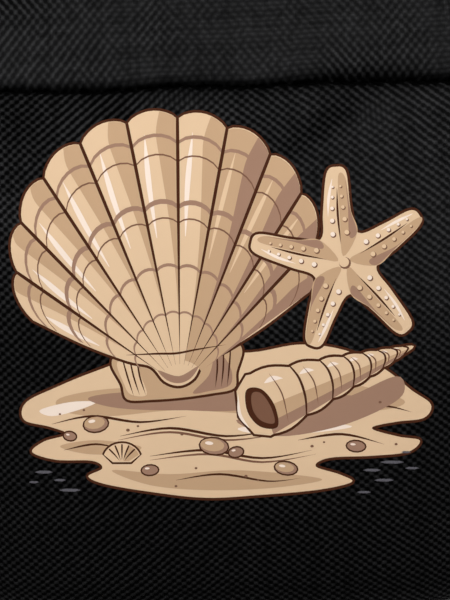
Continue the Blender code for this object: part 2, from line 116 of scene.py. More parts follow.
world = bpy.data.worlds.new("studio")
bpy.context.scene.world = world
world.use_nodes = True
tree = world.node_tree
background = tree.nodes["Background"]
where = tree.nodes.new("ShaderNodeTexCoord")
parts_of = tree.nodes.new("ShaderNodeSeparateXYZ")
ramp = tree.nodes.new("ShaderNodeValToRGB")
tree.links.new(where.outputs["Generated"], parts_of.inputs[0])
tree.links.new(parts_of.outputs[2], ramp.inputs[0])
tree.links.new(ramp.outputs[0], background.inputs["Color"])
ramp.color_ramp.elements[0].position = 0.0
ramp.color_ramp.elements[0].color = (0.26, 0.265, 0.275, 1.0)
ramp.color_ramp.elements[1].position = 0.55
ramp.color_ramp.elements[1].color = (0.14, 0.14, 0.147, 1.0)
background.inputs["Strength"].default_value = 1.0
bpy.context.scene.view_settings.view_transform = "Standard"
bpy.context.scene.view_settings.look = "None"
bpy.context.scene.view_settings.exposure = 0.0
bpy.context.scene.view_settings.gamma = 1.0

# ------------------------------------------------------------------ node helpers


class Nodes:
    """Short calls for a material's node tree."""

    def __init__(self, name):
        self.material = bpy.data.materials.new(name)
        self.material.use_nodes = True
        self.tree = self.material.node_tree
        self.shader = self.tree.nodes["Principled BSDF"]

    def node(self, kind, **settings):
        made = self.tree.nodes.new(kind)
        for key, value in settings.items():
            setattr(made, key, value)
        return made

    def put(self, socket, value):
        if isinstance(value, bpy.types.NodeSocket):
            self.tree.links.new(value, socket)
        else:
            socket.default_value = value

    def math(self, operation, a, b=None, c=None, clamp=False):
        made = self.node("ShaderNodeMath", operation=operation, use_clamp=clamp)
        for socket, value in zip(made.inputs, (a, b, c)):
            if value is not None:
                self.put(socket, value)
        return made.outputs[0]

    def step(self, value, low, high, to_low=0.0, to_high=1.0):
        made = self.node("ShaderNodeMapRange", interpolation_type="SMOOTHSTEP")
        for socket, v in zip(made.inputs, (value, low, high, to_low, to_high)):
            self.put(socket, v)
        return made.outputs[0]

    def mix(self, factor, a, b, blend="MIX"):
        made = self.node("ShaderNodeMix", data_type="RGBA", blend_type=blend)
        self.put(made.inputs["Factor"], factor)
        self.put(made.inputs[6], a)
        self.put(made.inputs[7], b)
        return made.outputs[2]

    def uv(self, name="cloth"):
        made = self.node("ShaderNodeUVMap", uv_map=name)
        split = self.node("ShaderNodeSeparateXYZ")
        self.tree.links.new(made.outputs[0], split.inputs[0])
        return made.outputs[0], split.outputs[0], split.outputs[1]

    def join(self, x, y, z=0.0):
        made = self.node("ShaderNodeCombineXYZ")
        for socket, value in zip(made.inputs, (x, y, z)):
            self.put(socket, value)
        return made.outputs[0]

    def noise(self, vector, scale, detail=2.0, roughness=0.5, dims="3D"):
        made = self.node("ShaderNodeTexNoise", noise_dimensions=dims)
        self.put(made.inputs["Vector"], vector)
        made.inputs["Scale"].default_value = scale
        made.inputs["Detail"].default_value = detail
        made.inputs["Roughness"].default_value = roughness
        return made.outputs[0]

    def white(self, value):
        made = self.node("ShaderNodeTexWhiteNoise", noise_dimensions="1D")
        self.put(made.inputs["W"], value)
        return made.outputs[0]

    def bump(self, height, distance, strength=1.0, normal=None):
        made = self.node("ShaderNodeBump")
        made.inputs["Strength"].default_value = strength
        made.inputs["Distance"].default_value = distance
        self.put(made.inputs["Height"], height)
        if normal is not None:
            self.put(made.inputs["Normal"], normal)
        return made.outputs[0]

    def set(self, **values):
        for key, value in values.items():
            self.put(self.shader.inputs[key.replace("_", " ")], value)
        return self


def grey(v, tint=(1.0, 1.0, 1.03)):
    return (v * tint[0], v * tint[1], v * tint[2], 1.0)


CELL_U = 1.80 * MM
CELL_V = 1.575 * MM


def packcloth(name, cell_u=CELL_U, cell_v=CELL_V, gap=0.45, thread=(0.0092, 0.0305), relief=0.00034, sink=0.95):
    """Coarse basket weave: pillows of doubled yarn with dark sinks between them, the sinks painted darker than the
    crowns as painted shade in the weave's hollows.
    """
    n = Nodes(name)
    vector, u, v = n.uv()
    a = n.math("DIVIDE", u, cell_u)
    b = n.math("DIVIDE", v, cell_v)
    # slow wander of the yarns, a fraction of a cell
    wander = n.noise(vector, 55.0, 2.0)
    a = n.math("ADD", a, n.math("MULTIPLY", n.math("SUBTRACT", wander, 0.5), 0.9))
    wander2 = n.noise(n.join(v, u, 0.37), 48.0, 2.0)
    b = n.math("ADD", b, n.math("MULTIPLY", n.math("SUBTRACT", wander2, 0.5), 0.8))
    rising = n.math("COSINE", n.math("MULTIPLY", n.math("SUBTRACT", a, b), math.pi))
    falling = n.math("COSINE", n.math("MULTIPLY", n.math("ADD", a, b), math.pi))
    attribute = n.node("ShaderNodeAttribute", attribute_name="lean")
    patchy = n.math("MULTIPLY", n.math("SUBTRACT", n.noise(vector, 150.0, 2.0), 0.5), 0.9)
    weight = n.math("ADD", attribute.outputs["Fac"], patchy)
    weight = n.math("ADD", n.math("MULTIPLY", weight, 0.5), 0.5, clamp=True)
    pillow = n.math(
        "ADD",
        n.math("MULTIPLY", rising, weight),
        n.math("MULTIPLY", falling, n.math("SUBTRACT", 1.0, weight)),
    )
    # where the cloth lies slack the rows close up into faint ribs
    slack = n.node("ShaderNodeAttribute", attribute_name="slack")
    rib_rows = n.math("MULTIPLY", n.math("COSINE", n.math("MULTIPLY", a, math.pi * 2.0)), 0.3)
    difference = n.math("SUBTRACT", rib_rows, pillow)
    pillow = n.math("ADD", pillow, n.math("MULTIPLY", difference, slack.outputs["Fac"]))
    # filaments along each float: across the cell on the pillows, upright in the sinks
    ribs = n.math("SINE", n.math("MULTIPLY", b, math.pi * 4.0))
    ribs2 = n.math("SINE", n.math("MULTIPLY", a, math.pi * 4.0))
    on_top = n.step(pillow, -0.2, 0.3)
    fine = n.math(
        "ADD",
        n.math("MULTIPLY", ribs, on_top),
        n.math("MULTIPLY", ribs2, n.math("SUBTRACT", 1.0, on_top)),
    )
    rows = n.white(n.math("FLOOR", b))
    columns = n.white(n.math("ADD", n.math("FLOOR", a), 0.5))
    cellid = n.math("ADD", n.math("MULTIPLY", n.math("FLOOR", a), 17.13), n.math("FLOOR", b))
    each = n.white(cellid)
    vary = n.math("ADD", n.math("MULTIPLY", rows, 0.22), n.math("MULTIPLY", columns, 0.22))
    vary = n.math("ADD", vary, n.math("MULTIPLY", each, 0.5))
    broad = n.noise(vector, 14.0, 3.0)
    vary = n.math("ADD", vary, n.math("MULTIPLY", broad, 0.5))
    fibres = n.noise(vector, 1500.0, 2.0)
    vary = n.math("ADD", vary, n.math("MULTIPLY", fibres, 0.36))
    vary = n.math("ADD", vary, 0.10)
    bright = n.step(pillow, -0.6, 1.0)
    # painted light: the attribute sets the yarn's colour between its shaded and its lit value, standing in for how much
    # light each part of the cloth gets
    painted_light_level = n.node("ShaderNodeAttribute", attribute_name="falloff_and_painted_light")
    yarn = n.mix(painted_light_level.outputs["Fac"], grey(thread[0]), grey(thread[1]))
    # painted shade in the sinks: they are painted darker where the attribute open is high, and lifted towards the
    # yarn's colour elsewhere
    open_sinks = n.node("ShaderNodeAttribute", attribute_name="open")
    filled = n.math("MULTIPLY", n.math("SUBTRACT", 1.0, open_sinks.outputs["Fac"]), gap)
    floor_of = n.math("MULTIPLY", painted_light_level.outputs["Fac"], filled, clamp=True)
    share = n.math("ADD", n.math("MULTIPLY", bright, n.math("SUBTRACT", 1.0, floor_of)), floor_of)
    # painted shadow where the cloth dips into the seam, darkened pillow by pillow over a ragged band
    seam = n.node("ShaderNodeAttribute", attribute_name="painted_seam_shadow")
    uneven = n.math("ADD", n.math("MULTIPLY", n.noise(vector, 380.0, 1.0), 2.4), n.math("MULTIPLY", each, 0.7))
    uneven = n.math("MAXIMUM", n.math("SUBTRACT", uneven, 0.55), 0.1)
    seam_shadow_amount = n.math("MULTIPLY", seam.outputs["Fac"], uneven, clamp=True)
    share = n.math("MULTIPLY", share, n.math("SUBTRACT", 1.0, seam_shadow_amount))
    colour = n.mix(1.0, yarn, n.join(share, share, share), "MULTIPLY")
    colour = n.mix(1.0, colour, n.join(vary, vary, vary), "MULTIPLY")
    height = n.math("ADD", pillow, n.math("MULTIPLY", fine, 0.10))
    height = n.math("ADD", height, n.math("MULTIPLY", each, 0.25))
    n.set(
        Base_Color=colour,
        Roughness=n.step(pillow, -0.6, 0.8, sink, 0.54),
        Specular_IOR_Level=0.02,
        Normal=n.bump(height, relief),
    )
    return n.material


# ------------------------------------------------------------------ mesh helpers


def grid_object(name, points, uvs, wrap_u=False, caps=False, smooth=True):
    """A surface from points[row][column] with the cloth coordinates uvs[row][column]."""
    rows, cols = points.shape[:2]
    cells_u = cols if wrap_u else cols - 1
    verts = points.reshape(-1, 3)
    r, q = np.meshgrid(np.arange(rows - 1), np.arange(cells_u), indexing="ij")
    q2 = (q + 1) % cols
    quads = np.stack(
        (r * cols + q, r * cols + q2, (r + 1) * cols + q2, (r + 1) * cols + q), -1
    ).reshape(-1, 4)
    faces = quads.tolist()
    loops_uv = uvs.reshape(-1, 2)[quads.reshape(-1)]
    if wrap_u:
        # the last column's far side continues past the seam instead of jumping back
        wide = uvs[:, -1, 0] + (uvs[:, -1, 0] - uvs[:, -2, 0])
        flat = loops_uv.reshape(rows - 1, cells_u, 4, 2)
        flat[:, -1, 1, 0] = wide[:-1]
        flat[:, -1, 2, 0] = wide[1:]
        loops_uv = flat.reshape(-1, 2)
    if caps:
        first = list(range(cols))
        last = [(rows - 1) * cols + i for i in range(cols)]
        faces.append(first[::-1])
        faces.append(last)
        loops_uv = np.concatenate(
            (loops_uv, verts[first[::-1]][:, [0, 2]], verts[last][:, [0, 2]])
        )
    data = bpy.data.meshes.new(name)
    data.from_pydata(verts.tolist(), [], faces)
    layer = data.uv_layers.new(name="cloth")
    layer.data.foreach_set("uv", loops_uv.astype(np.float32).reshape(-1))
    data.validate()
    if smooth:
        data.shade_smooth()
    obj = bpy.data.objects.new(name, data)
    bpy.context.scene.collection.objects.link(obj)
    return obj


def set_value(obj, name, values):
    """A number on every point of the mesh, for the material to read."""
    spread = np.zeros(len(obj.data.vertices), np.float32) + np.asarray(values, np.float32).reshape(-1)
    obj.data.attributes.new(name, "FLOAT", "POINT").data.foreach_set("value", spread)


def thicken(obj, thickness, offset=-1.0):
    shell = obj.modifiers.new("thickness", "SOLIDIFY")
    shell.thickness = thickness
    shell.offset = offset
    shell.use_even_offset = False
    return obj


def apply_all(obj):
    """The object with its modifiers applied to its mesh."""
    bpy.context.view_layer.update()
    graph = bpy.context.evaluated_depsgraph_get()
    data = bpy.data.meshes.new_from_object(
        obj.evaluated_get(graph), preserve_all_data_layers=True, depsgraph=graph
    )
    obj.modifiers.clear()
    obj.data = data
    return obj


def give(obj, material):
    obj.data.materials.clear()
    obj.data.materials.append(material)
    return obj


def outward(obj):
    bm = bmesh.new()
    bm.from_mesh(obj.data)
    bmesh.ops.recalc_face_normals(bm, faces=bm.faces)
    bm.to_mesh(obj.data)
    bm.free()
    return obj


def spline(xs, ys):
    """A smooth curve through the knots (Catmull-Rom on uneven knots), as a function."""
    xs, ys = np.asarray(xs, float), np.asarray(ys, float)
    slope = np.gradient(ys, xs)

    def f(x):
        x = np.asarray(x, float)
        i = np.clip(np.searchsorted(xs, x) - 1, 0, len(xs) - 2)
        h = xs[i + 1] - xs[i]
        t = np.clip((x - xs[i]) / h, 0.0, 1.0)
        t2, t3 = t * t, t * t * t
        return (
            ys[i] * (2 * t3 - 3 * t2 + 1)
            + slope[i] * h * (t3 - 2 * t2 + t)
            + ys[i + 1] * (3 * t2 - 2 * t3)
            + slope[i + 1] * h * (t3 - t2)
        )

    return f


def soft_noise(x, y, scale, seed=0.0):
    """Smooth value noise over arrays, about -1 to 1."""
    out = np.zeros(np.broadcast(x, y).shape)
    flat_x, flat_y = np.broadcast_arrays(x, y)
    flat = out.reshape(-1)
    for i, (a, b) in enumerate(zip(flat_x.reshape(-1), flat_y.reshape(-1))):
        flat[i] = noise.noise((a / scale, b / scale, seed))
    return flat.reshape(out.shape)


def bell(x, y, cx, cy, sx, sy, angle=0.0):
    """A soft mound of height 1 on the cloth, its long side turned by angle degrees."""
    c, s = math.cos(math.radians(angle)), math.sin(math.radians(angle))
    dx, dy = x - cx, y - cy
    p, q = dx * c + dy * s, -dx * s + dy * c
    return np.exp(-0.5 * ((p / sx) ** 2 + (q / sy) ** 2))


# ------------------------------------------------------------------ the front pocket

SEAM_Z = 215.0
POCKET_BACK = -43.5
LOWER_ROWS = np.array(
    (
        (6.2, 80.0, -59.0, 2.8),
        (8.5, 92.0, -68.4, 2.9),
        (13.0, 100.0, -75.8, 3.0),
        (22.0, 105.0, -81.2, 3.0),
        (40.0, 107.5, -85.8, 3.0),
        (65.0, 108.0, -88.4, 3.0),
        (100.0, 108.0, -89.0, 3.0),
        (135.0, 108.0, -87.8, 3.1),
        (165.0, 108.0, -84.2, 3.2),
        (190.0, 107.5, -78.2, 3.4),
        (205.0, 107.0, -73.4, 3.7),
        (214.9, 106.5, -69.9, 4.0),
    )
)
UPPER_ROWS = np.array(
    (
        (215.0, 106.5, -68.0, 4.0),
        (228.0, 105.0, -62.6, 4.3),
        (241.0, 103.0, -56.6, 4.8),
        (252.2, 100.0, -51.6, 5.5),
    )
)


def resampled_section(z, half_width, front, squareness, count):
    """Evenly spaced points round the pocket's front at height z, and their run from x = 0."""
    back_y = float(np.interp(z, (0.0, 7.0, 13.0, 19.0, 26.0, 40.0), (-36.0, -39.0, -41.6, -43.0, -43.4, POCKET_BACK)))
    t = np.linspace(0.0, math.pi, 1601)
    power = 2.0 / squareness
    x = -half_width * np.sign(np.cos(t)) * np.abs(np.cos(t)) ** power
    y = back_y - (back_y - front) * np.abs(np.sin(t)) ** power
    run = np.concatenate(((0.0,), np.cumsum(np.hypot(np.diff(x), np.diff(y)))))
    middle = run[-1] / 2
    at = np.linspace(0.0, run[-1], count)
    return np.interp(at, run, x), np.interp(at, run, y), at - middle


def pocket_surface(rows, zs, count):
    """Points (mm) of a pocket panel over heights zs, with u along and v up the cloth."""
    half = spline(rows[:, 0], rows[:, 1])(zs)
    front = spline(rows[:, 0], rows[:, 2])(zs)
    square = spline(rows[:, 0], rows[:, 3])(zs)
    points = np.zeros((len(zs), count, 3))
    u = np.zeros((len(zs), count))
    for i, z in enumerate(zs):
        x, y, run = resampled_section(z, half[i], front[i], square[i], count)
        points[i, :, 0], points[i, :, 1], points[i, :, 2] = x, y, z
        u[i] = run
    climb = np.concatenate(((0.0,), np.cumsum(np.hypot(np.diff(zs), np.diff(front)))))
    v = np.repeat(climb[:, None], count, 1)
    return points, u, v


def normals_of(points):
    du = np.gradient(points, axis=1)
    dv = np.gradient(points, axis=0)
    n = np.cross(du, dv)
    return n / np.maximum(np.linalg.norm(n, axis=2, keepdims=True), 1e-9)


def lower_folds(u, v_from_seam):
    """Height (mm) of the soft folds in the printed panel; v counts down from the seam."""
    x, y = u, -v_from_seam
    h = -1.0 * bell(x, y, 34.0, -15.0, 20.0, 3.6, 42.0)
    h = h + 0.9 * bell(x, y, 57.0, -21.0, 20.0, 4.5, 27.0)
    h = h + 0.5 * bell(x, y, 66.0, -34.0, 14.0, 6.0, 10.0)
    h = h + 0.45 * bell(x, y, -50.0, -27.0, 3.2, 15.0)
    h = h - 0.45 * bell(x, y, -63.0, -13.0, 5.0, 7.0)
    h = h - 0.45 * bell(x, y, -38.0, -12.0, 4.5, 7.0)
    h = h + 0.5 * bell(x, y, -15.0, -10.0, 9.0, 4.0)
    h = h - 0.5 * bell(x, y, -7.0, -40.0, 9.0, 6.0, -20.0)
    h = h + 0.8 * bell(x, y, -72.0, -60.0, 14.0, 6.0, 8.0)
    h = h - 0.5 * bell(x, y, -84.0, -40.0, 8.0, 7.0)
    h = h + 0.25 * soft_noise(x, y, 26.0, 1.7) * np.exp(-v_from_seam / 90.0)
    h = h + 0.12 * soft_noise(x, y, 9.0, 4.1) * np.exp(-v_from_seam / 30.0)
    return h


SOFT_SHADE = (
    # where (mm along, mm below the seam), half size, turn, lighter or darker
    (36.0, 16.0, 15.0, 3.5, 35.0, -0.30),
    (57.0, 18.0, 13.0, 5.0, 20.0, 0.12),
    (74.0, 27.0, 10.0, 5.0, 15.0, 0.06),
    (-73.0, 11.0, 6.0, 6.0, 0.0, -0.26),
    (-38.0, 10.0, 5.5, 8.0, 35.0, -0.22),
    (-51.0, 21.0, 4.0, 13.0, 0.0, 0.18),
    (-20.0, 8.0, 13.0, 4.0, 0.0, 0.16),
    (-76.0, 46.0, 9.0, 5.0, -45.0, 0.26),
    (-13.0, 37.0, 6.0, 8.0, 0.0, -0.20),
    (-67.0, 84.0, 10.0, 8.0, 0.0, -0.10),
    (45.0, 80.0, 8.0, 8.0, 0.0, -0.15),
    (70.0, 66.0, 8.0, 12.0, 0.0, -0.08),
    (70.0, 106.0, 6.0, 8.0, 0.0, 0.06),
)


def soft_shade(u, down):
    """How much lighter or darker the cloth looks over its soft folds."""
    total = 0.0 * u
    for at, below, sx, sy, turn, much in SOFT_SHADE:
        total = total + much * bell(u, -down, at, -below, sx, sy, turn)
    return total


def seam_sag(u):
    """How far (mm) the zip seam hangs below its straight line, along the pocket."""
    at = (-125.0, -77.0, -34.0, -20.0, -5.0, 9.0, 23.0, 38.0, 52.0, 67.0, 125.0)
    by = (2.0, 2.0, 2.0, 1.0, 1.0, 1.5, 0.9, 0.1, 0.5, 1.0, 0.8)
    return np.interp(u, np.linspace(-125, 125, 251), spline(at, by)(np.linspace(-125, 125, 251)))


def build_pocket_lower():
    step = 1.2
    zs = np.concatenate(
        (
            np.linspace(6.2, 25.0, 20)[:-1],
            np.arange(25.0, 206.0, step),
            np.linspace(206.0, 214.9, 12),
        )
    )
    points, u, v = pocket_surface(LOWER_ROWS, zs, 229)
    n = normals_of(points)
    top = v[-1, 0]
    down = top - v
    # edge: the cloth rolls in to the seam over its last two millimetres
    roll = np.clip(1.0 - down / 2.2, 0.0, 1.0)
    wave = 0.35 * soft_noise(u[-1:], 0.0 * u[-1:], 18.0, 3.0)
    falloff_and_painted_light = np.exp(-down / 6.0)
    shift = -1.7 * roll**2.2 + 0.45 * np.exp(-(((down - 2.6) / 1.6) ** 2))
    shift = shift + wave * falloff_and_painted_light
    shift = shift + lower_folds(u, down)
    points = points + n * shift[..., None]
    ragged = 0.45 * soft_noise(u[-1:], 0.0 * u[-1:], 5.0, 5.0) + 0.5 * soft_noise(u[-1:], 0.0 * u[-1:], 26.0, 6.0)
    points[..., 2] += ragged * np.exp(-down / 4.0) - seam_sag(u) * np.exp(-down / 14.0)
    uv = np.stack((u, v - top), -1)
    return points, uv, down


def cloth_turn(uv, degrees, bow, u_scale=1.0):
    """Cloth coordinates turned off the panel's axes, with the weft bowed by bow (1/mm)."""
    c, s = math.cos(math.radians(degrees)), math.sin(math.radians(degrees))
    u, v = uv[..., 0], uv[..., 1]
    v = v - bow * u * u
    return np.stack((u * c + v * s, -u * s + v * c), -1)


points, uv, down = build_pocket_lower()
bow = 0.00012 + 0.00024 * np.exp(-down / 60.0)
turned = cloth_turn(uv, 2.4, bow)
lower = grid_object("pocket_lower_cloth", points * MM, turned * MM)
lean = spline((-110.0, -75.0, -62.0, -45.0, -20.0, -2.0, 12.0, 30.0, 60.0, 110.0), (0.1, 0.15, 0.3, 0.75, 0.5, 0.12, -0.5, -0.45, -0.7, -0.6))(uv[..., 0])
lean = lean * (0.25 + 0.6 * np.exp(-down / 80.0)) + 0.06
set_value(lower, "lean", lean)
# painted light on the printed panel: the cloth is painted lighter under the seam and darker towards the bottom, where
# the panel curves under away from the light, lighter to the right, with painted fold shading, a little random tone, and
# lifted where the pocket turns round its sides and under
falloff_and_painted_light = spline((0.0, 25.0, 50.0, 78.0, 95.0, 120.0, 150.0, 175.0, 230.0), (0.34, 0.36, 0.43, 0.30, 0.13, 0.05, 0.02, 0.01, 0.0))(down)
falloff_and_painted_light = falloff_and_painted_light * (1.0 + 0.08 * np.clip(uv[..., 0] / 80.0, -1, 1)) + 0.03 * np.clip(uv[..., 0] / 80.0, 0, 1) * (down < 170)
falloff_and_painted_light = falloff_and_painted_light + (0.04 + 0.08 * np.clip(uv[..., 0] / 75.0, -1, 1)) * np.exp(-(((down - 90.0) / 25.0) ** 2))
falloff_and_painted_light = np.clip(falloff_and_painted_light + 0.06 * soft_noise(uv[..., 0], uv[..., 1], 22.0, 9.1) * (falloff_and_painted_light / 0.6), 0.0, 1.0)
falloff_and_painted_light = np.clip(falloff_and_painted_light + soft_shade(uv[..., 0], down), 0.0, 1.0)
round_the_side = np.clip((np.abs(uv[..., 0]) - 88.0) / 22.0, 0, 1)
under = np.clip((down - 196.0) / 16.0, 0, 1)
falloff_and_painted_light = np.maximum(falloff_and_painted_light, 0.5 * np.maximum(round_the_side, under))
lip = 1.7 + 0.4 / (1.0 + np.exp(-(uv[..., 0] - 40.0) / 8.0)) + 0.6 * soft_noise(uv[..., 0], 0.0 * down, 2.6, 2.5)
set_value(lower, "falloff_and_painted_light", falloff_and_painted_light)
# painted seam shadow along the printed panel's top edge, as wide as lip
set_value(lower, "painted_seam_shadow", 1.5 * np.exp(-((down / np.clip(lip, 0.3, None)) ** 1.4)))
# painted shade in the weave's sinks, darker towards the left
set_value(lower, "open", 0.75 - 0.6 / (1.0 + np.exp(-(uv[..., 0] - 15.0) / 12.0)))
set_value(lower, "slack", 0.6 * bell(uv[..., 0], down, 54.0, 12.0, 7.0, 5.0, -20.0) + 0.6 * bell(uv[..., 0], down, -16.0, 5.0, 13.0, 4.5))
CLOTH = packcloth("packcloth")
give(lower, CLOTH)
thicken(lower, 0.9 * MM)
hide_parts("pocket_lower")
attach(lower, "bag")

# ------------------------------------------------------------------ the printed design
#
# A generic beach picture: a fan shell, a starfish and a turret shell on a sand drift.
# It is drawn in picture units (one unit = 0.36 mm on the pocket, y down), as polygons
# laid over each other, and cut into one thin sheet of ink.

INK = {
    "line": (72, 38, 21),
    "deep": (124, 88, 66),
    "shade": (160, 125, 100),
    "mid": (196, 162, 122),
    "light": (226, 194, 152),
    "glow": (247, 228, 204),
    "mist": (92, 90, 92),
}
INK_NAMES = list(INK)
shapes = []  # (polygon, ink), later ones on top


def lay(ink, polygon):
    shapes.append((np.asarray(polygon, float), INK_NAMES.index(ink)))


def round_path(points, steps=8, closed=True):
    p = np.asarray(points, float)
    n = len(p)
    out = []
    for i in range(n if closed else n - 1):
        if closed:
            a, b, c_, d = (p[(i + k) % n] for k in (-1, 0, 1, 2))
        else:
            a, b, c_, d = (p[min(max(i + k, 0), n - 1)] for k in (-1, 0, 1, 2))
        for j in range(steps):
            t = j / steps
            out.append(
                0.5
                * (
                    2 * b
                    + (c_ - a) * t
                    + (2 * a - 5 * b + 4 * c_ - d) * t * t
                    + (3 * b - a - 3 * c_ + d) * t**3
                )
            )
    if not closed:
        out.append(p[-1])
    return np.array(out)


def grown(polygon, by):
    """The polygon with every point moved out along its corner's normal."""
    p = np.asarray(polygon, float)
    ahead = np.roll(p, -1, 0) - p
    ahead /= np.maximum(np.linalg.norm(ahead, axis=1, keepdims=True), 1e-9)
    behind = np.roll(ahead, 1, 0)
    tangent = ahead + behind
    tangent /= np.maximum(np.linalg.norm(tangent, axis=1, keepdims=True), 1e-9)
    area = 0.5 * np.sum(p[:, 0] * np.roll(p[:, 1], -1) - np.roll(p[:, 0], -1) * p[:, 1])
    normal = np.stack((tangent[:, 1], -tangent[:, 0]), 1) * math.copysign(1.0, area)
    return p + normal * by


def outlined(ink, polygon, line=1.9):
    lay("line", grown(polygon, line))
    lay(ink, grown(polygon, -0.4))


def brush(ink, points, widest, steps=6, start=0.1, end=0.0, peak=0.45):
    """A tapering stroke along a smooth path."""
    path = round_path(points, steps, closed=False)
    run = np.concatenate(((0,), np.cumsum(np.linalg.norm(np.diff(path, axis=0), axis=1))))
    t = run / run[-1]
    swell = np.where(t < peak, start + (1 - start) * np.sin(0.5 * np.pi * t / peak), end + (1 - end) * np.cos(0.5 * np.pi * (t - peak) / (1 - peak)))
    half = 0.5 * widest * np.clip(swell, 0.06, 1)
    tangent = np.gradient(path, axis=0)
    tangent /= np.maximum(np.linalg.norm(tangent, axis=1, keepdims=True), 1e-9)
    normal = np.stack((-tangent[:, 1], tangent[:, 0]), 1)
    lay(ink, np.concatenate((path + normal * half[:, None], (path - normal * half[:, None])[::-1])))


def disc(ink, x, y, rx, ry=None, turn=0.0, count=14):
    ry = rx if ry is None else ry
    t = np.linspace(0, 2 * np.pi, count, endpoint=False)
    c_, s_ = math.cos(math.radians(turn)), math.sin(math.radians(turn))
    px, py = rx * np.cos(t), ry * np.sin(t)
    polygon = np.stack((x + px * c_ - py * s_, y + px * s_ + py * c_), 1)
    lay(ink, polygon)
    return polygon


def pebble(x, y, rx, ry, turn=0.0, ink="mid"):
    disc("line", x, y, rx + 1.6, ry + 1.6, turn)
    disc("shade", x, y, rx, ry, turn)
    disc(ink, x - 0.12 * rx, y - 0.16 * ry, rx * 0.86, ry * 0.8, turn)
    disc("glow", x - 0.35 * rx, y - 0.38 * ry, rx * 0.30, ry * 0.22, turn, 10)


# the sand drift
drift = round_path(
    (
        (26, 402), (58, 386), (92, 372), (140, 356), (196, 350), (250, 352), (300, 344),
        (346, 350), (384, 368), (412, 390), (431, 404), (424, 418), (396, 422), (372, 428),
        (398, 436), (420, 440), (408, 452), (372, 456), (330, 458), (316, 466), (340, 474),
        (352, 482), (318, 490), (262, 495), (206, 498), (150, 492), (104, 484), (88, 476),
        (102, 468), (92, 461), (56, 460), (32, 452), (44, 441), (66, 434), (50, 427), (24, 420),
    ),
    6,
)
outlined("light", drift, 2.3)
lay("mid", round_path(((60, 398), (120, 388), (200, 392), (280, 386), (350, 384), (404, 400), (382, 410), (330, 408), (262, 414), (180, 410), (110, 416), (66, 412)), 6))
lay("shade", round_path(((122, 398), (190, 400), (262, 398), (330, 394), (380, 400), (352, 406), (290, 405), (226, 411), (164, 408)), 6))
lay("mid", round_path(((112, 470), (170, 474), (232, 470), (290, 474), (322, 480), (270, 488), (206, 490), (150, 485)), 6))
lay("mid", round_path(((60, 446), (96, 440), (140, 446), (128, 453), (88, 454)), 6))
lay("glow", round_path(((40, 410), (70, 402), (96, 402), (78, 410), (52, 416)), 5))
lay("glow", round_path(((238, 428), (300, 422), (352, 426), (318, 432), (268, 435)), 5))
for path_points, width in (
    (((52, 424), (92, 416), (140, 422), (186, 416)), 2.6),
    (((120, 436), (170, 428), (226, 436), (276, 430)), 2.8),
    (((298, 440), (342, 434), (384, 444)), 2.6),
    (((150, 456), (206, 450), (262, 458), (312, 450)), 2.8),
    (((176, 480), (220, 474), (268, 481), (300, 478)), 2.2),
    (((64, 450), (96, 444), (124, 450)), 2.0),
    (((352, 412), (384, 406), (412, 412)), 2.2),
):
    brush("line", path_points, width)
for path_points, width in (
    (((118, 440), (170, 432), (226, 440), (280, 434)), 2.4),
    (((150, 460), (208, 454), (262, 462), (316, 454)), 2.4),
):
    brush("deep", path_points, width)

# the fan shell, drawn about its hinge and turned a little to the left
HINGE = np.array((180.0, 386.0))
LEAN = math.radians(-6.0)
SPREAD = 60.0
RIBS = 11
rib_edges = np.linspace(-SPREAD, SPREAD, RIBS + 1)


def fan(angle, radius):
    """A point of the shell at this angle from its middle (degrees) and distance out."""
    t = np.radians(angle) + LEAN
    return HINGE + np.stack((np.sin(t) * radius, -np.cos(t) * radius), -1)


def by_hinge(x, y):
    c_, s_ = math.cos(LEAN), math.sin(LEAN)
    return HINGE + np.array((x * c_ - y * s_, x * s_ + y * c_))


def edge_of(angle):
    return 268.0 * (1.0 - 0.40 * (np.abs(angle) / SPREAD) ** 2.1)


def lobe_edge(i, angle):
    t = np.clip((angle - rib_edges[i]) / (rib_edges[i + 1] - rib_edges[i]), 0.0, 1.0)
    return edge_of(angle) + 9.0 * math.sin(math.pi * t) ** 0.7


def lobes(share, count=9):
    """The scalloped line at a share of the way out, from the left edge to the right."""
    out = []
    for i in range(RIBS):
        a0, a1 = rib_edges[i], rib_edges[i + 1]
        for k in range(count):
            t = k / count
            angle = a0 + (a1 - a0) * t
            puff = 9.0 * share * math.sin(math.pi * t) ** 0.7
            out.append(fan(angle, edge_of(angle) * share + puff))
    out.append(fan(SPREAD, edge_of(SPREAD) * share))
    return np.array(out)


lay("shade", round_path(((88, 398), (130, 392), (196, 396), (262, 388), (292, 392), (262, 404), (190, 410), (118, 408)), 6))
ears = round_path(
    (
        by_hinge(-40, -42), by_hinge(-60, -38), by_hinge(-66, -28), by_hinge(-58, -8), by_hinge(-54, 8),
        by_hinge(-30, 11), by_hinge(0, 12), by_hinge(30, 11), by_hinge(54, 8), by_hinge(58, -8),
        by_hinge(66, -28), by_hinge(60, -38), by_hinge(40, -42),
    ),
    5,
)
outlined("mid", ears, 2.2)
lay("light", round_path((by_hinge(-44, -34), by_hinge(-60, -30), by_hinge(-56, -10), by_hinge(-50, 3), by_hinge(-34, 5), by_hinge(-38, -14)), 5))
lay("shade", round_path((by_hinge(40, -30), by_hinge(52, -14), by_hinge(50, 4), by_hinge(28, 8), by_hinge(12, 8), by_hinge(30, -8)), 5))
for k in (0, 1, 2):
    brush("line", (by_hinge(-40 - 7 * k, -31), by_hinge(-39 - 6 * k, -14), by_hinge(-35 - 6 * k, 5)), 1.7, start=0.7)
    brush("line", (by_hinge(40 + 7 * k, -31), by_hinge(39 + 6 * k, -14), by_hinge(35 + 6 * k, 5)), 1.7, start=0.7)
rim = lobes(1.0)
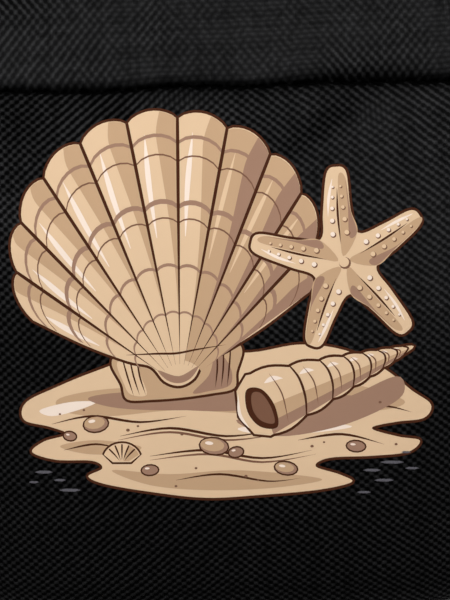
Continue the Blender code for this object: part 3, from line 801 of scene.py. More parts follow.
umbo = round_path(
    (
        fan(SPREAD, edge_of(SPREAD)), fan(SPREAD + 1, 104), fan(SPREAD - 1, 58), by_hinge(27, -22), by_hinge(15, -6),
        by_hinge(0, 0), by_hinge(-15, -6), by_hinge(-27, -22), fan(1 - SPREAD, 58), fan(-SPREAD - 1, 104), fan(-SPREAD, edge_of(-SPREAD)),
    ),
    5,
    closed=False,
)
body = np.concatenate((rim[:-1], umbo[:-1]))
outlined("light", body, 2.3)
for i in range(RIBS):
    a0, a1 = rib_edges[i], rib_edges[i + 1]
    dark_side = i >= 7
    if dark_side:
        t = np.linspace(0.0, 1.0, 9)
        cap = [fan(a0 + (a1 - a0) * k, edge_of(a0 + (a1 - a0) * k) + 9.0 * math.sin(math.pi * k) ** 0.7 - 1.2) for k in t]
        lay("mid", np.array([fan(a0, 26)] + cap + [fan(a1, 26)]))
    # each rib rolls away to its right
    out_r = edge_of(a1)
    lay(
        "shade" if dark_side else "mid",
        np.concatenate(
            (
                round_path((fan(a1, 30), fan(a1 - 1.2, 0.35 * out_r), fan(a1 - 3.0, 0.6 * out_r), fan(a1 - 4.6, 0.85 * out_r), fan(a1 - 4.9, 0.95 * out_r), fan(a1 - 3.8, lobe_edge(i, a1 - 3.8) - 0.8)), 4, closed=False),
                [fan(a1 - 2.6, lobe_edge(i, a1 - 2.6) - 0.8), fan(a1 - 1.2, lobe_edge(i, a1 - 1.2) - 0.8), fan(a1, out_r - 0.8)],
            )
        ),
    )
    if not dark_side:
        brush("glow", (fan(a0 + 2.6, 0.56 * edge_of(a0)), fan(a0 + 2.7, 0.76 * edge_of(a0)), fan(a0 + 3.4, 0.95 * edge_of(a0))), 5.4, peak=0.6)
    elif i < RIBS - 1:
        brush("light", (fan(a0 + 2.4, 0.5 * edge_of(a0)), fan(a0 + 2.6, 0.7 * edge_of(a0)), fan(a0 + 3.0, 0.92 * edge_of(a0))), 4.6, peak=0.6)
# growth bands
for share, ink, width in ((0.91, "shade", 3.6), (0.84, "deep", 1.7), (0.67, "shade", 5.0), (0.61, "deep", 1.7), (0.44, "shade", 3.2), (0.27, "shade", 2.2)):
    line = lobes(share, 6)
    normal = line - HINGE
    normal = normal / np.linalg.norm(normal, axis=1, keepdims=True)
    half = 0.5 * width
    lay(ink, np.concatenate((line + normal * half, (line - normal * half)[::-1])))
for i in range(1, RIBS):
    a = rib_edges[i]
    r = edge_of(a)
    brush("line", (fan(a, r + 1.5), fan(a, 0.8 * r), fan(a, 0.5 * r), fan(a, 22)), 3.4, start=0.9, peak=0.12)
brush("line", (fan(-54, 62), fan(-30, 40), fan(0, 33), fan(30, 40), fan(54, 62)), 2.2)
lay("shade", round_path((by_hinge(-20, -18), by_hinge(0, -10), by_hinge(20, -18), by_hinge(12, -7), by_hinge(0, -3), by_hinge(-12, -7)), 5))

# the starfish
STAR = np.array((344.0, 262.0))


def star(angle, radius):
    t = np.radians(angle - 100.0)
    return STAR + np.stack((np.cos(t) * radius, np.sin(t) * radius), -1)


arms = []
for i in range(5):
    a = 72.0 * i
    tip = 92.0 + (4.0, -3.0, 2.0, -2.0, 3.0)[i]
    bend = (5.0, -4.0, 3.0, -5.0, 4.0)[i]
    arms += [star(a - 36, 33), star(a - 15 + bend * 0.4, 55), star(a - 6.5 + bend, 0.94 * tip), star(a + bend, tip), star(a + 6.5 + bend, 0.94 * tip), star(a + 15 + bend * 0.4, 55)]
starfish = round_path(arms, 6)
outlined("light", starfish, 2.3)
for i in range(5):
    a = 72.0 * i
    bend = (5.0, -4.0, 3.0, -5.0, 4.0)[i]
    lay("mid", round_path((star(a, 6), star(a + 2 + bend * 0.5, 44), star(a + 1 + bend, 86), star(a + 6 + bend, 84), star(a + 15 + bend * 0.4, 53), star(a + 34, 33)), 5))
    lay("shade", round_path((star(a + 22, 26), star(a + 12 + bend * 0.4, 56), star(a + 6 + bend, 82), star(a + 14.6 + bend * 0.4, 53), star(a + 33, 33)), 5))
    brush("line", (star(a + bend * 0.9, 74), star(a + bend * 0.5, 48), star(a, 18)), 2.2)
    for r, w in ((30, 3.0), (43, 2.7), (55, 2.3), (66, 1.9), (76, 1.5)):
        off = 9.5 * (1 - r / 130)
        for sgn in (-1, 1):
            px, py = star(a + bend * r / 90 + sgn * math.degrees(math.atan2(off, r)), r)
            disc("deep", px + 0.7, py + 0.8, w, count=9)
            disc("glow" if sgn < 0 else "light", px, py, w * 0.8, count=9)
    brush("glow", (star(a - 3.2 + bend, 84), star(a - 7.0 + bend * 0.7, 66), star(a - 11.5 + bend * 0.4, 48)), 2.8)
disc("deep", STAR[0] + 1, STAR[1] + 1, 6.0)
disc("light", STAR[0], STAR[1], 5.0)

# the turret shell, lying with its tip up to the right
BASE_AT = np.array((262.0, 404.0))
TIP_AT = np.array((414.0, 346.0))
axis = (TIP_AT - BASE_AT) / np.linalg.norm(TIP_AT - BASE_AT)
side = np.array((-axis[1], axis[0]))
reach = np.linalg.norm(TIP_AT - BASE_AT)


def turret(t, w):
    """t along from base to tip, w across in half widths (+ is the lower side)."""
    half = 31.0 * (1.0 - t) ** 0.93 + 1.2
    return BASE_AT + axis * (t * reach) + side * (w * half)


whorls = (0.0, 0.235, 0.42, 0.565, 0.68, 0.775, 0.855, 0.925, 1.0)
top_line, low_line = [], []
for a, b in zip(whorls, whorls[1:]):
    for k in range(6):
        t = a + (b - a) * k / 6
        puff = 1.0 + 0.13 * math.sin(math.pi * k / 6)
        top_line.append(turret(t, -puff))
        low_line.append(turret(t, puff))
mouth = [turret(-0.02, 1.0), turret(-0.11, 0.72), turret(-0.16, 0.1), turret(-0.12, -0.6), turret(-0.03, -1.0)]
outline = np.array(low_line[::-1][0:0] + [TIP_AT] + low_line[::-1] + mouth + top_line)
lay("shade", round_path(((236, 420), (276, 436), (336, 427), (384, 408), (404, 392), (396, 376), (350, 396), (290, 416)), 5))
outlined("light", outline, 2.2)
lay("mid", np.array([turret(t, 0.12) for t in np.linspace(0, 0.97, 14)] + [turret(t, 1.0 - 0.04) for t in np.linspace(0.97, 0, 14)]))
lay("shade", np.array([turret(t, 0.62) for t in np.linspace(0, 0.95, 14)] + [turret(t, 1.0) for t in np.linspace(0.95, 0, 14)]))
for a, b in zip(whorls[:-1], whorls[1:]):
    m = 0.5 * (a + b)
    if b < 0.95:
        brush("glow", (turret(a + 0.25 * (b - a), -0.62), turret(m, -0.70), turret(b - 0.25 * (b - a), -0.62)), 5.2 * (1 - 0.6 * a))
        brush("deep", (turret(m - 0.01, -0.9), turret(m + 0.02, -0.1), turret(m - 0.005, 0.9)), 1.5)
for t in whorls[1:-1]:
    brush("line", (turret(t + 0.008, -1.02), turret(t + 0.035, -0.45), turret(t + 0.03, 0.35), turret(t - 0.004, 1.04)), 2.7 * (1 - 0.35 * t), start=0.6, end=0.5)
lay("line", round_path((turret(0.04, 0.86), turret(-0.06, 0.60), turret(-0.10, 0.05), turret(-0.06, -0.55), turret(0.03, -0.45), turret(0.07, 0.2)), 6))
lay("deep", round_path((turret(0.03, 0.70), turret(-0.04, 0.46), turret(-0.065, 0.05), turret(-0.035, -0.4), turret(0.02, -0.32), turret(0.045, 0.2)), 6))
brush("glow", (turret(-0.125, 0.5), turret(-0.15, 0.05), turret(-0.115, -0.5)), 3.2)

# pebbles, small shells and grains
pebble(96, 424, 12, 7.5, -8)
pebble(70, 436, 6, 4, 10, "shade")
pebble(214, 446, 14, 8, 6)
pebble(236, 452, 7, 4.6, -10, "shade")
pebble(356, 446, 9, 5, 4, "shade")
pebble(150, 470, 8, 4.6, -4, "shade")
pebble(286, 468, 11, 6, 8)
for x, y, r in ((128, 430, 2.0), (138, 426, 1.4), (182, 434, 1.8), (312, 446, 1.8), (324, 442, 1.3), (246, 476, 1.8), (258, 480, 1.3), (196, 468, 1.5), (396, 444, 1.6), (84, 410, 1.4), (176, 486, 1.5), (380, 402, 1.6), (60, 414, 1.3)):
    disc("deep", x, y, r, r * 0.8, count=8)
# a small cockle in front
for k, (ink, grow) in enumerate((("line", 2.0), ("light", 0.0))):
    t = np.linspace(-1.25, 1.25, 15)
    cockle = np.stack((122 + (19 + grow) * np.sin(t), 460 - (17 + grow) * np.cos(t)), 1)
    lay(ink, np.concatenate((cockle, [(131 + grow * 0.4, 462 + grow), (113 - grow * 0.4, 462 + grow)])))
lay("mid", np.stack((122 + 18 * np.sin(np.linspace(0.35, 1.22, 7)), 460 - 16 * np.cos(np.linspace(0.35, 1.22, 7))), 1).tolist() + [(129, 461), (124, 461)])
for t in (-0.8, -0.4, 0.0, 0.4, 0.8):
    brush("line", ((122 + 18 * math.sin(t), 460 - 16 * math.cos(t)), (122 + 9 * math.sin(t), 461 - 8 * math.cos(t)), (122 + 3 * math.sin(t), 461)), 1.7, start=0.8, peak=0.2)
# spray marks at the sand's edges
for x, y, w, h in ((44, 472, 9, 1.5), (60, 480, 6, 1.2), (70, 490, 11, 1.5), (372, 470, 9, 1.4), (392, 462, 12, 1.5), (412, 468, 7, 1.2), (384, 480, 10, 1.4), (364, 492, 7, 1.2), (34, 482, 5, 1.1), (406, 452, 5, 1.1)):
    lay("mist", np.array(((x - w, y), (x - 0.5 * w, y - h), (x + 0.6 * w, y - 0.9 * h), (x + w, y), (x + 0.4 * w, y + h), (x - 0.6 * w, y + 0.8 * h))))

INK_GRID = 3.2  # spacing of the extra points that let the ink follow the cloth, picture units
INK_LIFT = 0.16 * MM


def inside(polygon, px, py):
    """Even-odd test of many points against one polygon."""
    x0, y0 = polygon[:, 0][:, None], polygon[:, 1][:, None]
    x1, y1 = np.roll(polygon[:, 0], -1)[:, None], np.roll(polygon[:, 1], -1)[:, None]
    rise = np.where(y1 == y0, 1e-9, y1 - y0)
    crossing = ((y0 > py) != (y1 > py)) & (px < (x1 - x0) * (py - y0) / rise + x0)
    return crossing.sum(0) % 2 == 1


def cut_ink():
    """Triangles of the whole design in picture units, and the ink on each."""
    verts, edges = [], []
    for polygon, _ in shapes:
        start = len(verts)
        p = np.round(polygon, 2)
        verts += [Vector((float(x), float(y))) for x, y in p]
        edges += [(start + i, start + (i + 1) % len(p)) for i in range(len(p))]
    low = np.min([p.min(0) for p, _ in shapes], 0)
    high = np.max([p.max(0) for p, _ in shapes], 0)
    gx, gy = np.meshgrid(np.arange(low[0], high[0], INK_GRID), np.arange(low[1], high[1], INK_GRID))
    gx, gy = gx.reshape(-1), gy.reshape(-1)
    keep = np.zeros(len(gx), bool)
    for polygon, _ in shapes:
        a, b = polygon.min(0), polygon.max(0)
        near = np.nonzero((gx >= a[0]) & (gx <= b[0]) & (gy >= a[1]) & (gy <= b[1]) & ~keep)[0]
        if len(near):
            keep[near[inside(polygon, gx[near], gy[near])]] = True
    verts += [Vector((float(x), float(y))) for x, y in zip(gx[keep], gy[keep])]
    out_verts, _, tris, *_ = geometry.delaunay_2d_cdt(verts, edges, [], 0, 0.03)
    xy = np.array([(v.x, v.y) for v in out_verts])
    tris = np.array([t for t in tris if len(t) == 3])
    centre = xy[tris].mean(1)
    ink = np.full(len(tris), -1)
    for polygon, colour in shapes:
        a, b = polygon.min(0), polygon.max(0)
        near = np.nonzero((centre[:, 0] >= a[0]) & (centre[:, 0] <= b[0]) & (centre[:, 1] >= a[1]) & (centre[:, 1] <= b[1]))[0]
        if len(near):
            hit = near[inside(polygon, centre[near, 0], centre[near, 1])]
            ink[hit] = colour
    side_a = xy[tris[:, 1]] - xy[tris[:, 0]]
    side_b = xy[tris[:, 2]] - xy[tris[:, 0]]
    area = 0.5 * (side_a[:, 0] * side_b[:, 1] - side_a[:, 1] * side_b[:, 0])
    good = (ink >= 0) & (np.abs(area) > 1e-6)
    tris[area > 0] = tris[area > 0][:, ::-1]  # y runs down, so this faces the front
    return xy, tris[good], ink[good]


def on_cloth(xy, cloth):
    """Each picture point carried to the pocket along its sight line, with the cloth's normal."""
    verts = [v.co.copy() for v in cloth.data.vertices]
    faces = [tuple(p.vertices) for p in cloth.data.polygons]
    normals = [v.normal.copy() for v in cloth.data.vertices]
    tree = BVHTree.FromPolygons(verts, faces)
    f = LENS / 36.0 * PHOTO_H
    out, out_normals = [], []
    for x, y in xy:
        way = cam_x * ((x - PHOTO_W / 2) / f) + cam_y * ((PHOTO_H / 2 - y) / f) - back
        hit, _, face, _ = tree.ray_cast(cam_at, way.normalized())
        if hit is None:
            raise RuntimeError(f"the design runs off the pocket at {x:.0f}, {y:.0f}")
        normal = Vector((0.0, 0.0, 0.0))
        for i in faces[face]:
            normal += normals[i] / ((verts[i] - hit).length + 1e-5)
        normal.normalize()
        if normal.y > 0:
            normal = -normal
        out.append(hit)
        out_normals.append(normal)
    return np.array(out), np.array(out_normals)


def to_linear(channel):
    channel /= 255.0
    return channel / 12.92 if channel <= 0.04045 else ((channel + 0.055) / 1.055) ** 2.4


def build_print(cloth):
    xy, tris, ink = cut_ink()
    used = np.unique(tris)
    index = np.full(len(xy), -1)
    index[used] = np.arange(len(used))
    front = index[tris]
    points, normals = on_cloth(xy[used], cloth)
    count = len(points)
    # the rim: edges that only one triangle has
    edges = np.concatenate((front[:, (0, 1)], front[:, (1, 2)], front[:, (2, 0)]))
    owner = np.tile(np.arange(len(front)), 3)
    key = edges.min(1) * count + edges.max(1)
    _, first, times = np.unique(key, return_index=True, return_counts=True)
    rim = first[times == 1]
    sides = [
        (int(b), int(a), int(a) + count, int(b) + count) for a, b in edges[rim]
    ]
    faces = front.tolist() + (front[:, ::-1] + count).tolist() + sides
    every_ink = np.concatenate((ink, ink, ink[owner[rim]])).astype(np.int32)
    data = bpy.data.meshes.new("pocket_print")
    data.from_pydata(
        np.concatenate((points + normals * INK_LIFT, points + normals * (INK_LIFT - 0.1 * MM))).tolist(),
        [],
        faces,
    )
    obj = bpy.data.objects.new("pocket_print", data)
    bpy.context.scene.collection.objects.link(obj)
    for name in INK_NAMES:
        n = Nodes("ink_" + name)
        r, g, b = (to_linear(float(channel)) for channel in INK[name])
        n.set(Base_Color=(r * INK_GAIN[0], g * INK_GAIN[1], b * INK_GAIN[2], 1.0), Roughness=0.75, Specular_IOR_Level=0.04)
        data.materials.append(n.material)
    data.polygons.foreach_set("material_index", every_ink)
    data.shade_smooth()
    data.normals_split_custom_set_from_vertices(np.concatenate((normals, -normals)).tolist())
    return obj


INK_GAIN = (0.70, 0.697, 0.76)
ink_sheet = build_print(lower)
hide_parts("pocket_lower")
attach(ink_sheet, "bag")



def build_pocket_upper():
    zs = np.concatenate((np.linspace(203.0, 213.6, 11)[:-1], np.linspace(213.6, 221.0, 22)[:-1], np.arange(221.0, 252.3, 1.2)))
    rows = UPPER_ROWS.copy()
    rows = np.vstack(((195.0, 107.2, -75.6, 3.6), (205.0, 106.8, -71.8, 3.8), rows))
    points, u, v = pocket_surface(rows, zs, 300)
    n = normals_of(points)
    up_from = points[..., 2] - 215.0
    to_right = 1.0 / (1.0 + np.exp(-(u - 30.0) / 9.0))
    deep = 4.2 + 1.6 * to_right
    wide = 1.6 + 1.4 * to_right - 0.6 / (1.0 + np.exp(-(u - 76.0) / 4.0))
    wide = wide + 0.5 * soft_noise(u, 0.0 * u, 12.0, 2.2) + 0.6 * soft_noise(u, 0.0 * u, 2.6, 7.7)
    wide = np.clip(wide, 0.6, None)
    dip = -deep * np.exp(-((np.clip(up_from + 0.4, 0, None) / wide) ** 1.7))
    wave = 0.3 * soft_noise(u[-1:], 0.0 * u[-1:], 22.0, 8.0)
    shift = dip + wave * np.exp(-np.clip(up_from, 0, None) / 8.0)
    # below the seam the allowance turns forward and is sewn to the back of the printed panel
    z = points[..., 2]
    sewn = np.clip((211.0 - z) / 5.0, 0.0, 1.0) ** 2 * (3.0 - 2.0 * np.clip((211.0 - z) / 5.0, 0.0, 1.0))
    lower_front = spline(LOWER_ROWS[:, 0], LOWER_ROWS[:, 2])(np.clip(z, 190.0, 214.9))
    upper_front = spline(rows[:, 0], rows[:, 2])(z)
    reach = np.clip(upper_front - lower_front, -1.0, 3.0) * np.abs(n[..., 1])
    behind = 0.55 + 1.1 * np.clip((np.abs(u) - 84.0) / 8.0, 0, 1)
    shift = shift * (1.0 - sewn) + sewn * (reach + lower_folds(u, 214.9 - z) - behind)
    points = points + n * shift[..., None]
    points[..., 2] -= seam_sag(u) * np.exp(-np.clip(up_from, 0, None) / 10.0)
    # painted seam shadow: the cloth just above the seam is darkened over a ragged band
    ragged = 0.56 + 0.16 * soft_noise(u, 0.4 * up_from, 1.5, 4.4)
    painted_seam_shadow = 1.4 * np.exp(-((np.clip(up_from, 0, None) / (ragged * wide)) ** 1.3))
    return points, np.stack((u, v), -1), painted_seam_shadow


points, uv, painted_seam_shadow = build_pocket_upper()
turned = cloth_turn(uv, 1.5, 0.0001)[..., ::-1] * np.array((1.0, -1.0))
upper = grid_object("pocket_upper_cloth", points * MM, turned * MM)
lean = spline((-110.0, -80.0, -45.0, 0.0, 40.0, 75.0, 110.0), (-0.35, -0.35, -0.3, 0.0, 0.3, -0.1, 0.0))(uv[..., 0])
lean = lean + 1.0 * bell(uv[..., 0], points[..., 2] - 215.0, -76.0, 30.0, 13.0, 5.0)
set_value(upper, "lean", lean)
rise = points[..., 2] - 215.0
# painted shade in the weave's sinks, darker near the seam's right part and in a patch at the left
openness = 0.8 * np.exp(-(((uv[..., 0] - 52.0) / 20.0) ** 2)) * np.clip(1.2 - np.clip(rise, 0, None) / 10.0, 0, 1)
set_value(upper, "open", np.clip(openness + 0.75 * bell(uv[..., 0], rise, -78.0, 30.0, 13.0, 7.0), 0, 1))
# painted light: the strip above the seam is painted at one light level, with a little random tone
set_value(upper, "falloff_and_painted_light", 0.32 + 0.05 * soft_noise(uv[..., 0], uv[..., 1], 20.0, 3.3))
set_value(upper, "painted_seam_shadow", painted_seam_shadow)
slack = 0.62 + 0.5 * soft_noise(uv[..., 0], rise, 13.0, 6.2)
slack = slack - 0.9 * bell(uv[..., 0], rise, -68.0, 6.0, 18.0, 14.0) - 0.9 * bell(uv[..., 0], rise, 50.0, 2.0, 14.0, 7.0)
slack = slack - 0.6 * bell(uv[..., 0], rise, 62.0, 22.0, 9.0, 9.0) - 0.6 * bell(uv[..., 0], rise, -26.0, 18.0, 6.0, 7.0)
slack = slack - 0.8 * bell(uv[..., 0], rise, -75.0, 30.0, 12.0, 5.0)
set_value(upper, "slack", np.clip(slack, 0.0, 0.85))
UPPER_CLOTH = packcloth("packcloth_turned", 1.88 * MM, 1.58 * MM, gap=0.95, relief=0.0002, sink=0.75)
give(upper, UPPER_CLOTH)
thicken(upper, 0.9 * MM)
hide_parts("pocket_upper")
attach(upper, "bag")

# ------------------------------------------------------------------ shapes shared by the rest


def mesh_from(name, verts, faces, uvs=None, smooth=True):
    """A mesh object from millimetres; uvs, one per vertex, are cloth millimetres too."""
    data = bpy.data.meshes.new(name)
    data.from_pydata((np.asarray(verts, float) * MM).tolist(), [], [list(map(int, f)) for f in faces])
    if uvs is not None:
        corner = np.zeros(len(data.loops), np.int32)
        data.loops.foreach_get("vertex_index", corner)
        layer = data.uv_layers.new(name="cloth")
        layer.data.foreach_set("uv", (np.asarray(uvs, np.float32) * MM)[corner].reshape(-1))
    if smooth:
        data.shade_smooth()
    obj = bpy.data.objects.new(name, data)
    bpy.context.scene.collection.objects.link(obj)
    return obj


def belongs(obj, material, nodes, body="bag"):
    """Material, the CAD nodes it stands for and its body, in one call."""
    give(obj, material)
    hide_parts(*([nodes] if isinstance(nodes, str) else nodes))
    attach(obj, body)
    return obj


def unit(v):
    v = np.asarray(v, float)
    return v / np.maximum(np.linalg.norm(v, axis=-1, keepdims=True), 1e-12)


def run_of(path):
    return np.concatenate(((0.0,), np.cumsum(np.linalg.norm(np.diff(path, axis=0), axis=1))))


def evenly(path, spacing, *others):
    """The path and anything that goes with its points, at even steps along it."""
    path = np.asarray(path, float)
    run = run_of(path)
    count = max(3, int(round(run[-1] / spacing)) + 1)
    at = np.linspace(0.0, run[-1], count)
    out = [np.stack([np.interp(at, run, path[:, k]) for k in range(path.shape[1])], 1)]
    for other in others:
        other = np.asarray(other, float)
        if other.ndim == 1:
            out.append(np.interp(at, run, other))
        else:
            out.append(np.stack([np.interp(at, run, other[:, k]) for k in range(other.shape[1])], 1))
    return out if others else out[0]


def smooth_path(points, steps):
    """Catmull-Rom stations through tuples of any length."""
    p = np.asarray(points, float)
    last = len(p) - 1
    out = []
    for i in range(last):
        a, b, c_, d = (p[min(max(i + k, 0), last)] for k in (-1, 0, 1, 2))
        for j in range(steps):
            t = j / steps
            out.append(0.5 * (2 * b + (c_ - a) * t + (2 * a - 5 * b + 4 * c_ - d) * t * t + (3 * b - a - 3 * c_ + d) * t**3))
    out.append(p[-1])
    return np.array(out)


def frames_along(path, hint):
    """Side and up directions of a band along the path."""
    ahead = unit(np.gradient(path, axis=0))
    hint = np.asarray(hint, float)
    side = unit(hint - ahead * (ahead @ hint)[:, None])
    return side, np.cross(side, ahead)


def strip_profile(width, thickness, across=10, corner=None):
    """A flat band's closed outline with eased corners, as (across, up)."""
    a, b = 0.5 * width, 0.5 * thickness
    r = min(b, a) * 0.98 if corner is None else corner
    out = []
    for cx, cy, start in ((a - r, b - r, 0.0), (-a + r, b - r, 0.5), (-a + r, -b + r, 1.0), (a - r, -b + r, 1.5)):
        for i in range(4):
            t = math.pi * (start + 0.5 * i / 3)
            out.append((cx + r * math.cos(t), cy + r * math.sin(t)))
        if start in (0.0, 1.0):
            sign = -1.0 if start == 0.0 else 1.0
            y = b if start == 0.0 else -b
            for i in range(1, across):
                out.append((sign * (-(a - r) + 2 * (a - r) * i / across), y))
    return np.array(out)


def sweep(name, centres, sides, ups, profile, cyclic=False, caps=True, smooth=True):
    """A closed profile carried along a path; cloth coordinates run round it and along it."""
    centres = np.asarray(centres, float)
    profile = np.asarray(profile, float)
    rows = len(centres)
    if profile.ndim == 2:
        profile = np.repeat(profile[None], rows, 0)
    cols = profile.shape[1]
    verts = centres[:, None] + sides[:, None] * profile[..., :1] + ups[:, None] * profile[..., 1:]
    around = np.concatenate(((0.0,), np.cumsum(np.linalg.norm(np.roll(profile[0], -1, 0) - profile[0], axis=1))))
    loop = np.vstack((centres, centres[:1])) if cyclic else centres
    along = run_of(loop)
    spans = rows if cyclic else rows - 1
    r, q = np.meshgrid(np.arange(spans), np.arange(cols), indexing="ij")
    r2, q2 = (r + 1) % rows, (q + 1) % cols
    quads = np.stack((r * cols + q, r * cols + q2, r2 * cols + q2, r2 * cols + q), -1).reshape(-1, 4)
    uv = np.stack(
        (
            np.stack((around[q], around[q + 1], around[q + 1], around[q]), -1),
            np.stack((along[r], along[r], along[r + 1], along[r + 1]), -1),
        ),
        -1,
    ).reshape(-1, 2)
    faces = quads.tolist()
    if caps and not cyclic:
        first, last = list(range(cols)), [(rows - 1) * cols + i for i in range(cols)]
        faces += [first[::-1], last]
        uv = np.concatenate((uv, profile[0][::-1], profile[-1]))
    data = bpy.data.meshes.new(name)
    data.from_pydata((verts.reshape(-1, 3) * MM).tolist(), [], faces)
    layer = data.uv_layers.new(name="cloth")
    layer.data.foreach_set("uv", (uv * MM).astype(np.float32).reshape(-1))
    if smooth:
        data.shade_smooth()
        data.set_sharp_from_angle(angle=math.radians(55))
    obj = bpy.data.objects.new(name, data)
    bpy.context.scene.collection.objects.link(obj)
    return outward(obj)


def joined(name, objs):
    """Several mesh objects made into one."""
    bm = bmesh.new()
    for o in objs:
        bm.from_mesh(o.data)
    data = bpy.data.meshes.new(name)
    bm.to_mesh(data)
    bm.free()
    for o in objs:
        bpy.data.objects.remove(o, do_unlink=True)
    obj = bpy.data.objects.new(name, data)
    bpy.context.scene.collection.objects.link(obj)
    return obj


def fill_outline(outline, spacing):
    """Points and triangles inside a closed outline, on a grid of that spacing."""
    outline = np.asarray(outline, float)
    low, high = outline.min(0), outline.max(0)
    gx, gy = np.meshgrid(np.arange(low[0] + 0.5 * spacing, high[0], spacing), np.arange(low[1] + 0.5 * spacing, high[1], spacing * 0.87))
    gx[1::2] += 0.5 * spacing
    gx, gy = gx.reshape(-1), gy.reshape(-1)
    step = outline - np.roll(outline, 1, 0)
    keep = inside(outline, gx, gy)
    near = np.min((gx[:, None] - outline[None, :, 0]) ** 2 + (gy[:, None] - outline[None, :, 1]) ** 2, 1)
    keep &= near > (0.45 * max(spacing, float(np.median(np.linalg.norm(step, axis=1))))) ** 2
    count = len(outline)
    verts = [Vector(p) for p in outline.tolist()] + [Vector((float(x), float(y))) for x, y in zip(gx[keep], gy[keep])]
    out, _, tris, *_ = geometry.delaunay_2d_cdt(verts, [], [list(range(count))], 1, 1e-5)
    return np.array([(v.x, v.y) for v in out]), np.array([list(t) for t in tris])


def rim_edges(tris):
    """Edges that only one triangle has, in that triangle's direction."""
    edges = np.concatenate((tris[:, (0, 1)], tris[:, (1, 2)], tris[:, (2, 0)]))
    key = edges.min(1).astype(np.int64) * 10_000_000 + edges.max(1)
    _, first, times = np.unique(key, return_index=True, return_counts=True)
    return edges[first[times == 1]]


def slab(name, front, rear, tris, uvs):
    """A closed body between two sheets of points that share their triangles."""
    count = len(front)
    rim = rim_edges(tris)
    faces = tris.tolist() + (tris[:, ::-1] + count).tolist() + [(b, a, a + count, b + count) for a, b in rim.tolist()]
    obj = mesh_from(name, np.concatenate((front, rear)), faces, np.concatenate((uvs, uvs)))
    obj.data.set_sharp_from_angle(angle=math.radians(60))
    return outward(obj)


def make_stitches(name, runs, radius=0.30, sink=0.22):
    """One mesh of short thread stitches. runs: (path, normals, pitch, length), in mm."""
    starts, ends, ups = [], [], []
    for path, normals, pitch, length in runs:
        path, normals = evenly(path, 0.5, normals)
        run = run_of(path)
        count = max(1, int((run[-1] - length) // pitch) + 1)
        spare = 0.5 * (run[-1] - ((count - 1) * pitch + length))
        for i in range(count):
            a, b = spare + i * pitch, spare + i * pitch + length
            starts.append([np.interp(a, run, path[:, k]) for k in range(3)])
            ends.append([np.interp(b, run, path[:, k]) for k in range(3)])
            ups.append([np.interp(0.5 * (a + b), run, normals[:, k]) for k in range(3)])
    starts, ends, ups = np.array(starts), np.array(ends), unit(ups)
    ahead = unit(ends - starts)
    side = unit(np.cross(ahead, ups))
    verts, faces = [], []
    for t, r, drop in ((0.0, 0.45, -sink), (0.14, 1.0, 0.05), (0.86, 1.0, 0.05), (1.0, 0.45, -sink)):
        c_ = starts + (ends - starts) * t + ups * drop
        for k in range(6):
            w = 2 * math.pi * k / 6
            verts.append(c_ + (side * math.cos(w) + ups * math.sin(w)) * radius * r)
    verts = np.stack(verts, 1)  # stitches x 24 x 3
    one = []
    for ring in range(3):
        for k in range(6):
            one.append((ring * 6 + k, ring * 6 + (k + 1) % 6, ring * 6 + 6 + (k + 1) % 6, ring * 6 + 6 + k))
    for i in range(len(starts)):
        base = i * 24
        faces += [tuple(base + j for j in f_) for f_ in one]
        faces.append(tuple(base + j for j in range(5, -1, -1)))
        faces.append(tuple(base + 18 + j for j in range(6)))
    return outward(mesh_from(name, verts.reshape(-1, 3), faces))


def coil(name, path, sides, ups, pitch=1.3):
    """The two rows of coil turns of a closed zip, interleaved down its middle."""
    run = run_of(path)
    count = int(run[-1] // pitch)
    all_verts, faces = [], []
    t = np.linspace(0.0, 1.0, 6)
    for hand in (-1.0, 1.0):
        at = (np.arange(count) + (0.25 if hand < 0 else 0.75)) * pitch
        here = np.stack([np.interp(at, run, path[:, k]) for k in range(3)], 1)
        s_ = unit(np.stack([np.interp(at, run, sides[:, k]) for k in range(3)], 1))
        u_ = unit(np.stack([np.interp(at, run, ups[:, k]) for k in range(3)], 1))
        f_ = np.cross(s_, u_)
        across = hand * (2.25 - 2.85 * t)
        rise = 0.38 + 1.05 * np.sin(np.pi * (0.08 + 0.84 * t)) ** 0.6
        slant = 0.22 * (t - 0.5)
        centre = here[:, None] + s_[:, None] * across[None, :, None] + u_[:, None] * rise[None, :, None] + f_[:, None] * slant[None, :, None]
        ahead = unit(np.gradient(centre, axis=1))
        side_ = np.repeat(f_[:, None], len(t), 1)
        up_ = np.cross(side_, ahead)
        ring = []
        for k in range(5):
            w = 2 * math.pi * k / 5
            ring.append(centre + (side_ * math.cos(w) + up_ * math.sin(w)) * 0.42)
        ring = np.stack(ring, 2)  # count x stations x 5 x 3
        base = sum(len(v) for v in all_verts)
        all_verts.append(ring.reshape(-1, 3))
        for i in range(count):
            b0 = base + i * len(t) * 5
            for j in range(len(t) - 1):
                for k in range(5):
                    faces.append((b0 + j * 5 + k, b0 + j * 5 + (k + 1) % 5, b0 + (j + 1) * 5 + (k + 1) % 5, b0 + (j + 1) * 5 + k))
            faces.append(tuple(b0 + k for k in range(4, -1, -1)))
            faces.append(tuple(b0 + (len(t) - 1) * 5 + k for k in range(5)))
    return outward(mesh_from(name, np.concatenate(all_verts), faces))


# ------------------------------------------------------------------ the other materials


